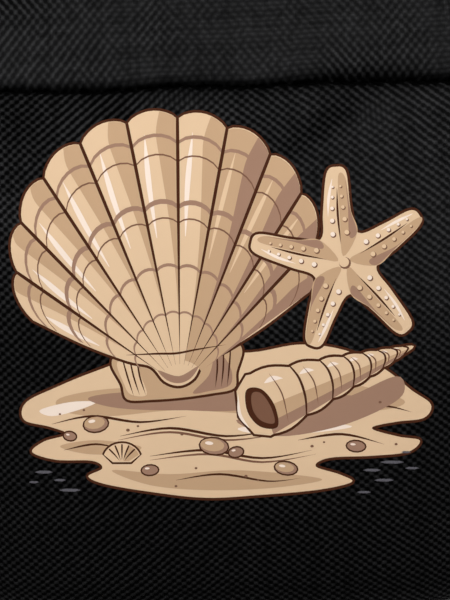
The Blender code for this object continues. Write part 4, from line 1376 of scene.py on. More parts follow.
def woven(name, shade, pitch_u, pitch_v, relief=0.00012, roughness=0.72, specular=0.12, ribs=0.0):
    """Fine narrow cloth: zip tape, webbing and binding. ribs is the width of a lengthwise rib."""
    n = Nodes(name)
    vector, u, v = n.uv()
    a, b = n.math("DIVIDE", u, pitch_u), n.math("DIVIDE", v, pitch_v)
    h = n.math("MULTIPLY", n.math("COSINE", n.math("MULTIPLY", n.math("ADD", a, b), math.pi)), 0.5)
    h = n.math("ADD", h, n.math("MULTIPLY", n.math("COSINE", n.math("MULTIPLY", n.math("SUBTRACT", a, b), math.pi)), 0.5))
    if ribs:
        r = n.math("ABSOLUTE", n.math("COSINE", n.math("MULTIPLY", u, math.pi / ribs)))
        h = n.math("ADD", n.math("MULTIPLY", h, 0.45), n.math("MULTIPLY", n.math("POWER", r, 0.6), 1.2))
    vary = n.math("ADD", n.math("MULTIPLY", n.noise(vector, 90.0, 3.0), 0.6), 0.7)
    # painted shade: the weave's hollows are painted darker and its crowns lighter
    share = n.math("MULTIPLY", n.step(h, -0.7, 0.9, 0.35, 1.15), vary)
    colour = n.mix(1.0, grey(shade), n.join(share, share, share), "MULTIPLY")
    n.set(Base_Color=colour, Roughness=roughness, Specular_IOR_Level=specular, Normal=n.bump(h, relief))
    return n.material


def spacer(name):
    """Knitted spacer mesh: rows of small oval holes, painted darker as painted shade in their depth."""
    n = Nodes(name)
    vector, u, v = n.uv()
    k = 2 * math.pi / 0.0031
    x, y = n.math("MULTIPLY", u, k), n.math("MULTIPLY", v, k)
    h = n.math("COSINE", x)
    h = n.math("ADD", h, n.math("COSINE", n.math("ADD", n.math("MULTIPLY", x, 0.5), n.math("MULTIPLY", y, 0.866))))
    h = n.math("ADD", h, n.math("COSINE", n.math("SUBTRACT", n.math("MULTIPLY", x, 0.5), n.math("MULTIPLY", y, 0.866))))
    hole = n.step(h, 0.5, 1.7)
    knit = n.noise(vector, 1600.0, 2.0)
    share = n.math("ADD", n.math("MULTIPLY", knit, 0.7), 0.65)
    colour = n.mix(hole, grey(0.026), grey(0.004))
    colour = n.mix(1.0, colour, n.join(share, share, share), "MULTIPLY")
    height = n.math("SUBTRACT", n.math("MULTIPLY", knit, 0.15), hole)
    n.set(Base_Color=colour, Roughness=0.85, Specular_IOR_Level=0.1, Normal=n.bump(height, 0.0007))
    return n.material


def plain(name, colour, roughness, metallic=0.0, specular=0.5, grain=0.0, grain_size=600.0):
    n = Nodes(name)
    values = dict(Base_Color=colour, Roughness=roughness, Metallic=metallic, Specular_IOR_Level=specular)
    if grain:
        where_ = n.node("ShaderNodeTexCoord").outputs["Object"]
        values["Normal"] = n.bump(n.noise(where_, grain_size, 2.0), grain)
    n.set(**values)
    return n.material


BODY_CLOTH = packcloth("packcloth_body", gap=0.5)
TAPE = woven("zip_tape", 0.018, 0.55 * MM, 0.62 * MM, 0.00008)
COIL = plain("zip_coil", grey(0.012), 0.42, specular=0.4)
BINDING = woven("binding", 0.019, 0.8 * MM, 0.8 * MM, 0.0001)
WEBBING = woven("webbing", 0.022, 0.9 * MM, 1.1 * MM, 0.00022, 0.6, 0.18, ribs=2.6 * MM)
SPACER = spacer("spacer_mesh")
NET = plain("open_mesh", grey(0.018), 0.6, specular=0.25)
METAL = plain("slider_metal", (0.20, 0.20, 0.205, 1.0), 0.34, metallic=1.0, grain=0.00002, grain_size=900.0)
MOULDED = plain("moulded_plastic", grey(0.012), 0.42, specular=0.45, grain=0.00003, grain_size=2500.0)
THREAD = plain("thread", grey(0.020), 0.65, specular=0.25)

# ------------------------------------------------------------------ the compartment

BAG = (130.0, 3.3, 210.0, 36.0)
PAD = (84.0, 22.0, 241.0, 24.0)


def d_path(shape, inset=0.0, spacing=3.0):
    """Even points round a D outline from its bottom middle, anticlockwise from the front, and outward directions."""
    half, low, centre, corner = shape
    half, low, corner = half - inset, low + inset, max(corner - inset, 4.0)
    points = [(0.0, low), (half - corner, low)]
    t = np.linspace(-0.5 * np.pi, 0.0, 40)
    points += list(zip(half - corner + corner * np.cos(t), low + corner + corner * np.sin(t)))
    t = np.linspace(0.0, np.pi, 400)
    points += list(zip(half * np.cos(t), centre + half * np.sin(t)))
    t = np.linspace(np.pi, 1.5 * np.pi, 40)
    points += list(zip(-half + corner + corner * np.cos(t), low + corner + corner * np.sin(t)))
    points += [(0.0, low)]
    points = np.array(points)
    run = run_of(points)
    count = int(round(run[-1] / spacing))
    at = np.linspace(0.0, run[-1], count, endpoint=False)
    p = np.stack((np.interp(at, run, points[:, 0]), np.interp(at, run, points[:, 1])), 1)
    tangent = unit(np.roll(p, -1, 0) - np.roll(p, 1, 0))
    return p, np.stack((tangent[:, 1], -tangent[:, 0]), 1), at


def d_distance(x, z, shape):
    """How far inside a D outline a point is."""
    half, low, centre, corner = shape
    arch = half - np.hypot(x, z - centre)
    box = np.minimum(half - np.abs(x), z - low)
    ix, iz = np.abs(x) - (half - corner), (low + corner) - z
    bend = corner - np.hypot(np.maximum(ix, 0), np.maximum(iz, 0))
    box = np.where((ix > 0) & (iz > 0), bend, box)
    return np.where(z > centre, arch, box)


def window(value, low, high, soft):
    """1 between low and high, 0 outside, with soft shoulders."""
    return 1.0 / (1.0 + np.exp(-(value - low) / soft)) / (1.0 + np.exp((value - high) / soft))


def build_gusset():
    path, out_dir, at = d_path(BAG, 0.0, 3.2)
    profile = [(61.6, 0.7), (60.4, 0.35), (59.2, 0.1)]
    profile += [(y, 0.0) for y in np.linspace(57.6, -30.9, 31)]
    profile += [(-32.2, 0.1), (-33.4, 0.35), (-34.6, 0.7)]
    profile = np.array(profile)
    y = np.repeat(profile[:, 0][:, None], len(path), 1)
    inset = np.repeat(profile[:, 1][:, None], len(path), 1)
    s_ = np.repeat(at[None], len(profile), 0)
    x, z = np.repeat(path[:, 0][None], len(profile), 0), np.repeat(path[:, 1][None], len(profile), 0)
    ang = np.arctan2(z - 170.0, x)
    raw = 1.4 * soft_noise(np.cos(ang) * 60.0, np.sin(ang) * 60.0 + y * 0.55, 30.0, 2.0)
    raw += 0.8 * soft_noise(np.cos(ang) * 130.0, np.sin(ang) * 130.0 + y * 0.3, 17.0, 6.0)
    raw += 0.9 * np.cos((y - 13.0) / 92.0 * np.pi) - 0.6
    under_zip = window(y, -11.5, 21.5, 1.0) * window(z, 148.0, 400.0, 2.0)
    by_pocket = window(y, -30.0, 58.0, 1.5) * window(z, 34.0, 141.0, 2.0) * (np.abs(x) > 100)
    at_handle = window(y, 27.0, 57.0, 1.0) * window(np.abs(x), 40.0, 70.0, 2.0) * (z > 200)
    on_base = window(z, -10.0, 7.0, 1.0)
    free = (1 - under_zip) * (1 - by_pocket) * (1 - on_base) * (1 - at_handle)
    edge = window(y, -31.5, 58.4, 1.6)
    raw = np.where(raw > 0, raw * free, raw * (0.35 + 0.65 * free)) * edge
    raw -= 0.12 * (1 - free)
    shift = raw - inset
    points = np.stack(
        (x + out_dir[:, 0][None] * shift, y, z + out_dir[:, 1][None] * shift), -1
    )
    uv = np.stack((s_, y), -1)
    obj = grid_object("gusset_cloth", points * MM, uv * MM, wrap_u=True)
    return obj


gusset = build_gusset()
# painted light: the gusset's cloth is painted at a lit level
set_value(gusset, "falloff_and_painted_light", 0.8)
set_value(gusset, "lean", 0.0)
thicken(gusset, 0.8 * MM)
belongs(gusset, BODY_CLOTH, "main_compartment")

FRONT_Y = spline((0.0, 2.4, 4.0, 7.0, 13.0, 19.0, 26.0, 40.0, 140.0), (-35.6, -37.0, -38.0, -39.6, -42.2, -43.6, -44.0, -44.0, -44.0))
BACK_Y = spline((0.0, 2.6, 4.0, 6.0, 9.0, 20.0, 140.0), (62.4, 63.0, 63.9, 64.6, 65.0, 65.0, 65.0))


def build_panel(name, depth, facing, puff):
    outline, _, _ = d_path(BAG, 1.4, 3.2)
    xz, tris = fill_outline(outline, 3.4)
    x, z = xz[:, 0], xz[:, 1]
    d = d_distance(x, z, BAG)
    y = depth(d) + facing * puff(x, z, d)
    points = np.stack((x, y, z), 1)
    e1, e2 = points[tris[0, 1]] - points[tris[0, 0]], points[tris[0, 2]] - points[tris[0, 0]]
    if np.cross(e1, e2)[1] * facing < 0:
        tris = tris[:, ::-1]
    obj = mesh_from(name, points, tris.tolist(), xz)
    # painted light: the panels' cloth is painted at a lit level
    set_value(obj, "falloff_and_painted_light", 0.6)
    thicken(obj, 0.8 * MM)
    return obj


def front_puff(x, z, d):
    clear_pocket = 1.0 - window(np.abs(x), -200.0, 111.0, 1.5) * window(z, -10.0, 265.0, 1.5)
    edge = np.clip((d - 3.0) / 12.0, 0.0, 1.0)
    h = 2.6 * np.exp(-0.5 * (((z - 297.0) / 17.0) ** 2 + (x / 78.0) ** 2))
    h += 0.9 * soft_noise(x, z, 24.0, 12.0) + 0.5 * soft_noise(x, z, 11.0, 15.0) + 0.5
    return h * edge * clear_pocket - 0.15 * (1 - clear_pocket)


def back_puff(x, z, d):
    covered = window(d_distance(x, z, PAD), -3.0, 400.0, 1.0)
    return (0.5 * soft_noise(x, z, 20.0, 21.0) - 0.1) * (1 - covered) * np.clip((d - 4) / 8, 0, 1) - 0.15 * covered


belongs(build_panel("front_panel_cloth", FRONT_Y, -1.0, front_puff), BODY_CLOTH, "main_compartment")
belongs(build_panel("back_panel_cloth", BACK_Y, 1.0, back_puff), BODY_CLOTH, "main_compartment")

# the pocket's underside, and the flap of its top under the zip
for name, z, half, front_y, square, node in (
    ("pocket_underside", 6.6, 80.5, -59.3, 2.8, "pocket_lower"),
    ("pocket_top_flap", 251.9, 99.9, -51.5, 5.5, "pocket_upper"),
):
    x_, y_, _ = resampled_section(z, half, front_y, square, 90)
    hem = np.linspace(x_[-1], x_[0], 80)[1:-1]
    rim = np.stack((np.concatenate((x_, hem)), np.concatenate((y_, np.full(78, 0.5 * (y_[0] + y_[-1]))))), 1)
    flat, tris = fill_outline(rim, 3.0)
    level = np.full(len(flat), z)
    if node == "pocket_upper":
        # past the zip's ends the flap folds up under the tape and closes the corner
        end = np.clip((np.abs(flat[:, 0]) - 90.6) / 2.4, 0, 1) * np.clip((99.9 - np.abs(flat[:, 0])) / 4.5, 0, 1)
        level = level + 8.4 * np.clip((flat[:, 1] + 51.0) / 6.6, 0, 1) * end
    top_face = np.stack((flat[:, 0], flat[:, 1], level + 0.4), 1)
    low_face = np.stack((flat[:, 0], flat[:, 1], level - 0.4), 1)
    piece = slab(name, top_face, low_face, tris, flat)
    # painted light: these pieces are painted at the pocket's darker level
    set_value(piece, "falloff_and_painted_light", 0.3)
    belongs(piece, BODY_CLOTH, node)

# base panel: a doubled, boxed slab
def build_base():
    corner = 9.0
    t = np.linspace(0.0, 0.5 * np.pi, 7)
    rows = []
    for z, inset in ((0.0, 2.0), (0.12, 1.0), (0.7, 0.15), (1.5, 0.0), (2.3, 0.15), (2.85, 1.0), (2.95, 2.0)):
        ring = []
        x1, y0, y1, r = 96.0 - inset, -30.0 + inset, 57.0 - inset, corner - inset
        for cx, cy, start in ((x1 - r, y1 - r, 0.0), (-x1 + r, y1 - r, 0.5), (-x1 + r, y0 + r, 1.0), (x1 - r, y0 + r, 1.5)):
            for k in t:
                ring.append((cx + r * math.cos(math.pi * start + k), cy + r * math.sin(math.pi * start + k), z))
        rows.append(ring)
    points = np.array(rows)
    uv = points[..., :2].copy()
    obj = grid_object("base_panel_cloth", points * MM, uv * MM, wrap_u=True)
    # caps
    bm = bmesh.new()
    bm.from_mesh(obj.data)
    bm.verts.ensure_lookup_table()
    n = points.shape[1]
    layer = bm.loops.layers.uv["cloth"]
    for ring in (range(n), range((len(rows) - 1) * n, len(rows) * n)):
        face = bm.faces.new([bm.verts[i] for i in ring])
        face.smooth = True
        for loop in face.loops:
            loop[layer].uv = (loop.vert.co.x, loop.vert.co.y)
    for face in bm.faces:
        for loop in face.loops:
            loop[layer].uv = (loop.vert.co.x, loop.vert.co.y)
    bmesh.ops.recalc_face_normals(bm, faces=bm.faces)
    bm.to_mesh(obj.data)
    bm.free()
    return obj


base = build_base()
# painted light: the base's cloth is painted at a lit level
set_value(base, "falloff_and_painted_light", 0.6)
belongs(base, BODY_CLOTH, "base_panel")

# piping
def ring_normals(count):
    return np.repeat(np.array([[0.0, 1.0, 0.0]]), count, 0)


for name, y in (("front_piping", -35.0), ("back_piping", 62.0)):
    path, out_dir, at = d_path(BAG, 0.3, 3.0)
    centres = np.stack((path[:, 0], np.full(len(path), y), path[:, 1]), 1)
    ups = np.stack((out_dir[:, 0], np.zeros(len(path)), out_dir[:, 1]), 1)
    t = np.linspace(0, 2 * np.pi, 14, endpoint=False)
    radius = 1.97 + 0.05 * soft_noise(at, 0.0 * at, 9.0, y)
    profile = np.stack((np.cos(t)[None] * radius[:, None], np.sin(t)[None] * radius[:, None]), -1)
    bead = sweep(name + "_bead", centres, ring_normals(len(path)), ups, profile, cyclic=True)
    belongs(bead, BINDING, name)

# ------------------------------------------------------------------ zips


def tape_halves(name, centres, sides, ups, inner, outer, wave):
    """The two tapes of a zip, a millimetre thick, corded along the coil."""
    halves = []
    for hand in (-1.0, 1.0):
        a = np.array((inner, inner + 0.7, inner + 1.6, 0.5 * (inner + outer), outer - 1.2, outer))
        lift = np.array((0.25, 0.3, 0.0, 0.0, 0.0, -0.05))
        top = np.stack((hand * a, lift), 1)
        low_ = np.stack((hand * a[::-1], np.full(len(a), -0.95)), 1)
        profile = np.repeat(np.concatenate((top, low_))[None], len(centres), 0)
        run = run_of(centres)
        ripple = wave * soft_noise(run, 0.0 * run + hand * 7.0, 10.0, 4.0)
        reach = np.clip((np.abs(profile[..., 0]) - inner) / (outer - inner), 0, 1)
        profile[..., 1] += np.clip(ripple, -1, 0)[:, None] * reach * 0.0 + 0.12 * ripple[:, None] * reach
        halves.append(sweep(f"{name}_{'a' if hand < 0 else 'b'}", centres, sides, ups, profile))
    return joined(name, halves)


def main_zip_line(spacing=2.4):
    r = 131.3
    t = np.linspace(0.0, np.pi, 260)
    points = [(r, 5.0, 150.0)] + [(r * math.cos(k), 5.0, 210.0 + r * math.sin(k)) for k in t] + [(-r, 5.0, 150.0)]
    face = [(1.0, 0.0, 0.0)] + [(math.cos(k), 0.0, math.sin(k)) for k in t] + [(-1.0, 0.0, 0.0)]
    path, face = evenly(points, spacing, face)
    return path, unit(face)


path, face = main_zip_line()
across = np.repeat(np.array([[0.0, 1.0, 0.0]]), len(path), 0)
belongs(tape_halves("main_zip_tape", path, across, face, 0.9, 14.0, 1.0), TAPE, "main_zip")
path, face = main_zip_line(1.3)
across = np.repeat(np.array([[0.0, 1.0, 0.0]]), len(path), 0)
inner_face = path - face * 0.1
belongs(coil("main_zip_coil", inner_face[2:-2], across[2:-2], face[2:-2]), COIL, "main_zip")

ZIP_LOW, ZIP_HIGH = np.array((0.0, -51.2, 253.4)), np.array((0.0, -45.4, 262.1))
zip_lean = unit(ZIP_HIGH - ZIP_LOW)
zip_out = np.array((0.0, -zip_lean[2], zip_lean[1]))
zip_middle = 0.5 * (ZIP_LOW + ZIP_HIGH)
path = np.stack((np.linspace(-92.0, 92.0, 80), np.full(80, zip_middle[1]), np.full(80, zip_middle[2])), 1)
leans, outs = np.repeat(zip_lean[None], 80, 0), np.repeat(zip_out[None], 80, 0)
belongs(tape_halves("pocket_zip_tape", path, leans, outs, 0.9, 5.2, 0.5), TAPE, "pocket_zip")
belongs(coil("pocket_zip_coil", path[1:-1] - outs[1:-1] * 0.1, leans[1:-1], outs[1:-1]), COIL, "pocket_zip")


def eased_copy(node, name, material, body, width, segments=2, sharp=50):
    """The CAD piece's own shape with its edges eased, on its own body."""
    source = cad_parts[node]
    data = source.data.copy()
    obj = bpy.data.objects.new(name, data)
    obj.matrix_world = source.matrix_world.copy()
    bpy.context.scene.collection.objects.link(obj)
    bm = bmesh.new()
    bm.from_mesh(data)
    bmesh.ops.remove_doubles(bm, verts=bm.verts, dist=1e-6)
    bmesh.ops.dissolve_limit(bm, angle_limit=math.radians(1.5), verts=bm.verts, edges=bm.edges)
    bm.to_mesh(data)
    bm.free()
    ease = obj.modifiers.new("eased", "BEVEL")
    ease.width = width
    ease.segments = segments
    ease.limit_method = "ANGLE"
    ease.angle_limit = math.radians(35)
    ease.harden_normals = False
    apply_all(obj)
    obj.data.shade_smooth()
    obj.data.set_sharp_from_angle(angle=math.radians(sharp))
    return belongs(obj, material, node, body)


for which in ("main_slider_right", "main_slider_left", "pocket_slider"):
    eased_copy(which, which + "_body", METAL, which, 0.28 * MM)
for which in ("main_pull_right", "main_pull_left", "pocket_pull"):
    eased_copy(which, which + "_tab", METAL, which, 0.3 * MM)

# ------------------------------------------------------------------ back pad


def build_pad():
    outline, _, _ = d_path(PAD, 0.3, 3.0)
    xz, tris = fill_outline(outline, 2.9)
    x, z = xz[:, 0], xz[:, 1]
    d = d_distance(x, z, PAD)
    loft_ = 1.6 + 6.2 * (1.0 - np.exp(-((np.clip(d, 0, None) / 6.5) ** 1.2)))
    bow_ = 27.0 + 3.0 * np.cos((z - 170.0) / 60.0)
    upright = np.abs(np.abs(x) - bow_)
    in_run = window(z, 52.0, 286.0, 1.2)
    groove = 4.6 * np.exp(-((upright / 2.4) ** 2)) * in_run
    for z0, half in ((50.0, 60.0), (288.0, 44.0)):
        groove = np.maximum(groove, 4.6 * np.exp(-(((z - z0 - 0.0012 * x * x) / 2.4) ** 2)) * window(np.abs(x), -100.0, half, 1.5))
    thick = np.maximum(loft_ - groove, 1.4)
    thick += 0.25 * soft_noise(x, z, 16.0, 31.0) * np.clip(d / 8.0, 0, 1) * (groove < 0.5)
    thick = np.minimum(thick, 7.95)
    rear = np.stack((x, np.full(len(x), 65.35), z), 1)
    front = np.stack((x, 65.3 + thick, z), 1)
    e1, e2 = front[tris[0, 1]] - front[tris[0, 0]], front[tris[0, 2]] - front[tris[0, 0]]
    if np.cross(e1, e2)[1] < 0:
        tris = tris[:, ::-1]
    return slab("back_pad_foam", front, rear, tris, xz), bow_


pad_obj, _ = build_pad()
belongs(pad_obj, SPACER, "back_pad")


def pad_y(x, z):
    """Where the pad's face is in its grooves."""
    return 65.3 + 3.35


pad_runs = []
up_y = np.array((0.0, 1.0, 0.0))
for hand in (-1.0, 1.0):
    zz = np.linspace(54.0, 284.0, 90)
    line = np.stack((hand * (27.0 + 3.0 * np.cos((zz - 170.0) / 60.0)), np.full(90, pad_y(0, 0)), zz), 1)
    pad_runs.append((line, np.repeat(up_y[None], 90, 0), 3.4, 2.5))
for z0, half in ((50.0, 59.0), (288.0, 43.0)):
    xx = np.linspace(-half, half, 60)
    line = np.stack((xx, np.full(60, pad_y(0, 0)), z0 + 0.0012 * xx * xx), 1)
    pad_runs.append((line, np.repeat(up_y[None], 60, 0), 3.4, 2.5))
edge_path, _, _ = d_path(PAD, 2.2, 2.0)
edge_line = np.stack((edge_path[:, 0], np.full(len(edge_path), 65.3 + 3.35), edge_path[:, 1]), 1)
pad_runs.append((edge_line, np.repeat(up_y[None], len(edge_line), 0), 3.4, 2.5))
belongs(make_stitches("back_pad_stitches", pad_runs, 0.28), THREAD, "back_pad")

# ------------------------------------------------------------------ shoulder straps, locks, webbing

STRAP_PATH = (
    (38.0, 79.9, 312.0, 50.0),
    (40.0, 80.4, 299.0, 53.0),
    (45.0, 86.5, 283.0, 56.0),
    (53.0, 96.0, 261.0, 57.0),
    (61.0, 102.8, 234.0, 55.0),
    (68.0, 105.3, 205.0, 51.0),
    (74.0, 104.2, 176.0, 46.0),
    (79.0, 101.0, 151.0, 41.0),
    (82.0, 97.6, 132.0, 38.0),
)
X_AXIS = np.array((1.0, 0.0, 0.0))


def strap_profile(width, half_thick, edge):
    """A padded band's closed outline: thin at its bound edges, full between them."""
    a = np.cos(np.linspace(0.0, np.pi, 17)) * (0.5 * width)
    share = np.clip(np.abs(a) / (0.5 * width), 0, 1)
    rise = edge + (half_thick - edge) * (1.0 - share**3.4) ** 0.6
    return np.concatenate((np.stack((a, rise), 1), np.stack((a[::-1], -rise[::-1]), 1)))


def build_strap(hand, name):
    stations = smooth_path(STRAP_PATH, 9)
    line = stations[:, :3] * np.array((hand, 1.0, 1.0))
    line, widths = evenly(line, 3.0, stations[:, 3])
    side, up_ = frames_along(line, X_AXIS)
    flip = np.sign(up_[:, 1])[:, None]
    up_ = up_ * flip
    run = run_of(line)
    from_end = run[-1] - run
    full = 1.0 - 0.68 * np.exp(-((run / 12.0) ** 2)) - 0.42 * np.exp(-((from_end / 9.0) ** 2))
    thick = 5.9 * full
    thick = thick * (1.0 + 0.04 * soft_noise(run, 0.0 * run + hand * 9.0, 22.0, 41.0))
    sink = -(5.9 - thick) * np.exp(-((run / 14.0) ** 2)) * 0.9
    centres = line + up_ * sink[:, None]
    profile = np.stack([strap_profile(w, min(t_, 5.95), min(1.15, 0.8 * t_)) for w, t_ in zip(widths, thick)])
    body_ = sweep("shoulder_strap_" + name + "_pad", centres, side, up_, profile)
    # painted light: the straps' cloth is painted at a lit level
    set_value(body_, "falloff_and_painted_light", 0.8)
    set_value(body_, "lean", 0.0)
    node = "shoulder_strap_" + name
    belongs(body_, BODY_CLOTH, node)
    body_.data.materials.append(SPACER)
    inner_side = 17  # the second half of the outline faces the wearer
    mats = np.zeros(len(body_.data.polygons), np.int32)
    cols = profile.shape[1]
    spans = len(centres) - 1
    index = np.arange(spans * cols) % cols
    mats[: spans * cols] = np.where((index >= inner_side) & (index < 2 * inner_side - 1), 1, 0)
    body_.data.polygons.foreach_set("material_index", mats)
    bindings, runs = [], []
    for edge in (-1.0, 1.0):
        off = edge * (0.5 * widths - 1.9)
        rail = centres + side * off[:, None]
        t = np.linspace(0, 2 * np.pi, 14, endpoint=False)
        shape = np.stack((2.55 * np.sign(np.cos(t)) * np.abs(np.cos(t)) ** 0.7, 1.95 * np.sign(np.sin(t)) * np.abs(np.sin(t)) ** 0.8), 1)
        bindings.append(sweep(f"edge_{name}_{edge}", rail, side, up_, shape))
        for facing in (1.0, -1.0):
            lane = centres + side * (edge * (0.5 * widths - 3.2))[:, None] + up_ * (facing * 1.9)
            runs.append((lane[1:-1], up_[1:-1] * facing, 3.4, 2.5))
    trim = joined("shoulder_strap_" + name + "_binding", bindings)
    belongs(trim, BINDING, node)
    # two rows across each end; at the lower end they run on both faces
    for station, reach_ in ((2, 0.40), (4, 0.40)):
        half = widths[station] * reach_
        xs = np.linspace(-half, half, 20)
        top_rise = np.array([np.interp(abs(q), np.abs(profile[station][:9, 0])[::-1], profile[station][:9, 1][::-1]) for q in xs])
        lane = centres[station] + side[station] * xs[:, None] + up_[station] * (top_rise[:, None] + 0.1)
        runs.append((lane, np.repeat(up_[station][None], 20, 0), 3.4, 2.5))
    for station in (len(centres) - 2, len(centres) - 4):
        half = widths[station] * 0.34
        xs = np.linspace(-half, half, 20)
        top_rise = np.array([np.interp(abs(q), np.abs(profile[station][:9, 0])[::-1], profile[station][:9, 1][::-1]) for q in xs])
        for facing in (1.0, -1.0):
            lane = centres[station] + side[station] * xs[:, None] + up_[station] * (facing * (top_rise[:, None] + 0.1))
            runs.append((lane, np.repeat(up_[station][None] * facing, 20, 0), 3.4, 2.5))
    belongs(make_stitches("shoulder_strap_" + name + "_stitches", runs, 0.28), THREAD, node)
    return line


GAP = 0.3
for hand, name in ((1.0, "right"), (-1.0, "left")):
    build_strap(hand, name)
    stations = smooth_path(STRAP_PATH, 3)
    middle = [Vector((hand * x, y, z)) for x, y, z, _ in stations]
    end, before = middle[-1], middle[-3]
    down = (end - before).normalized()
    hint = Vector((1.0, 0.0, 0.0))
    wide = (hint - down * hint.dot(down)).normalized()
    facing = wide.cross(down)
    if facing.y < 0:
        facing.negate()
    b = 13.5
    lock_middle = end + down * (GAP + b)

    def at_lock(along, off):
        return tuple(lock_middle + down * along + facing * off)

    inner = -2.0 - 0.75 - 0.4
    turn = b - 8.5
    run_points = [
        (hand * 101.0, 66.2, 17.0),
        (hand * 101.0, 66.6, 27.0),
        (hand * 99.0, 72.5, 45.0),
        (hand * 94.0, 83.0, 70.0),
        at_lock(b + 12, inner - 0.2),
        at_lock(b + 3, inner),
        at_lock(turn + 2.6, inner + 0.1),
        at_lock(turn + 0.6, inner + 1.2),
        at_lock(turn, 0.0),
        at_lock(turn + 0.6, -inner - 1.2),
        at_lock(turn + 2.6, -inner - 0.1),
        at_lock(b + 3, -inner),
        at_lock(b + 20, -inner + 1.5),
        tuple(Vector(at_lock(b + 44, -inner + 1.0)) + Vector((0.0, -1.5, -2.0))),
    ]
    line = smooth_path(run_points, 7)
    side, up_ = frames_along(line, X_AXIS)
    profile = np.repeat(strip_profile(24.9, 1.45, 16, 0.35)[None], len(line), 0)
    # the folded hem at the tail's end
    run = run_of(line)
    from_end = run[-1] - run
    hem = 1.0 + 0.85 / (1.0 + np.exp((from_end - 9.0) / 0.5))
    profile[..., 1] *= hem[:, None]
    strip = sweep("webbing_" + name + "_strip", line, side, up_, profile)
    belongs(strip, WEBBING, "webbing_" + name)
    runs = []
    for back_off in (3.0, 7.0):
        k = int(np.argmin(np.abs(from_end - back_off)))
        xs = np.linspace(-10.5, 10.5, 20)
        for s_ in (1.0, -1.0):
            lane = line[k] + side[k] * xs[:, None] + up_[k] * (s_ * 1.38)
            runs.append((lane, np.repeat(up_[k][None] * s_, 20, 0), 2.8, 2.1))
    # two rows of stitches across the webbing at its lower anchor
    for k in (1, 4):
        xs = np.linspace(-10.5, 10.5, 20)
        s_ = 1.0 if up_[k][1] > 0 else -1.0
        lane = line[k] + side[k] * xs[:, None] + up_[k] * (s_ * 0.8)
        runs.append((lane, np.repeat(up_[k][None] * s_, 20, 0), 2.8, 2.1))
    belongs(make_stitches("webbing_" + name + "_stitches", runs, 0.26), THREAD, "webbing_" + name)
    # the loop that holds the lock to the strap
    loop_points = [
        at_lock(-b - 7.0, 2.9),
        at_lock(-b - 1.0, 3.0),
        at_lock(-b + 3.4, 2.85),
        at_lock(-b + 5.0, 1.9),
        at_lock(-b + 5.6, 0.0),
        at_lock(-b + 5.0, -1.9),
        at_lock(-b + 3.4, -2.85),
        at_lock(-b - 1.0, -3.0),
        at_lock(-b - 7.0, -2.9),
    ]
    line = smooth_path(loop_points, 5)
    side, up_ = frames_along(line, X_AXIS)
    band = sweep("lock_loop_" + name, line, side, up_, strip_profile(24.6, 1.3, 16, 0.3))
    belongs(band, WEBBING, "shoulder_strap_" + name)
    eased_copy("ladder_lock_" + name, "ladder_lock_" + name + "_body", MOULDED, "bag", 0.9 * MM, 3)

# ------------------------------------------------------------------ grab handle


def on_arch(x, lift):
    return (x, 42.0, 210.0 + math.sqrt((130.0 + lift) ** 2 - x * x))


half_run = [
    on_arch(-66.0, 1.8),
    on_arch(-56.0, 1.8),
    on_arch(-47.0, 3.0),
    (-41.0, 42.0, 342.5),
    (-34.0, 42.0, 354.0),
    (-22.0, 42.0, 365.5),
    (-8.0, 42.0, 371.0),
]
line = smooth_path(half_run + [(-x, y, z) for x, y, z in reversed(half_run)], 6)
line = evenly(line, 2.5)
side, up_ = frames_along(line, (0.0, 1.0, 0.0))
if up_[len(up_) // 2][2] < 0:
    side, up_ = -side, -up_
# two bands, one sewn on the other
bands = []
for lift, wide_, tall in ((0.74, 24.8, 1.4), (-0.74, 24.8, 1.4)):
    bands.append(sweep(f"band_{lift}", line + up_ * lift, side, up_, strip_profile(wide_, tall, 16, 0.35)))
handle = joined("grab_handle_webbing", bands)
belongs(handle, WEBBING, "grab_handle")
run = run_of(line)
handle_runs = []
flank = (run > 1.5) & (run < run[-1] - 1.5)
for edge in (-10.8, 10.8):
    for facing_ in (1.0, -1.0):
        lane = line + side * edge + up_ * (facing_ * 1.5)
        handle_runs.append((lane[flank], up_[flank] * facing_, 3.0, 2.2))
for start, stop in ((2.0, 16.0), (run[-1] - 16.0, run[-1] - 2.0)):
    corners = []
    for s_, e_ in ((start, -9.0), (start, 9.0), (stop, -9.0), (stop, 9.0)):
        k = int(np.argmin(np.abs(run - s_)))
        corners.append((line[k] + side[k] * e_ + up_[k] * 1.5, up_[k]))
    for i, j in ((0, 1), (2, 3), (0, 3), (1, 2)):
        (p, n_), (q, m_) = corners[i], corners[j]
        mid = 0.5 * (p + q) + 0.5 * (n_ + m_) * (0.2 if i != j else 0)
        t = np.linspace(0, 1, 12)[:, None]
        lane = p * (1 - t) + q * t
        lift_ = np.sin(np.pi * t) * (0.35 if abs(i - j) in (1, 3) and {i, j} not in ({0, 1}, {2, 3}) else 0.0)
        handle_runs.append((lane + n_ * lift_, np.repeat(n_[None], 12, 0), 3.0, 2.2))
belongs(make_stitches("grab_handle_stitches", handle_runs, 0.28), THREAD, "grab_handle")

# ------------------------------------------------------------------ side pockets

BULGE_AT = spline((38.0, 41.0, 44.0, 52.0, 68.0, 93.0, 127.0, 137.0), (0.0, 0.42, 0.64, 0.9, 1.0, 1.0, 0.86, 0.80))


def pocket_wall(t, z, hand, off=0.8):
    """A point of a side pocket's wall: t from its front edge to its back one."""
    t = np.clip(t, 0.0, 1.0)
    swell = np.sin(np.pi * t) ** 0.55
    x = 130.3 + off * (0.3 + 0.7 * swell) + 16.0 * BULGE_AT(z) * swell
    return np.stack((hand * x, -27.0 + 82.0 * t + 0.0 * z, z + 0.0 * t), -1)


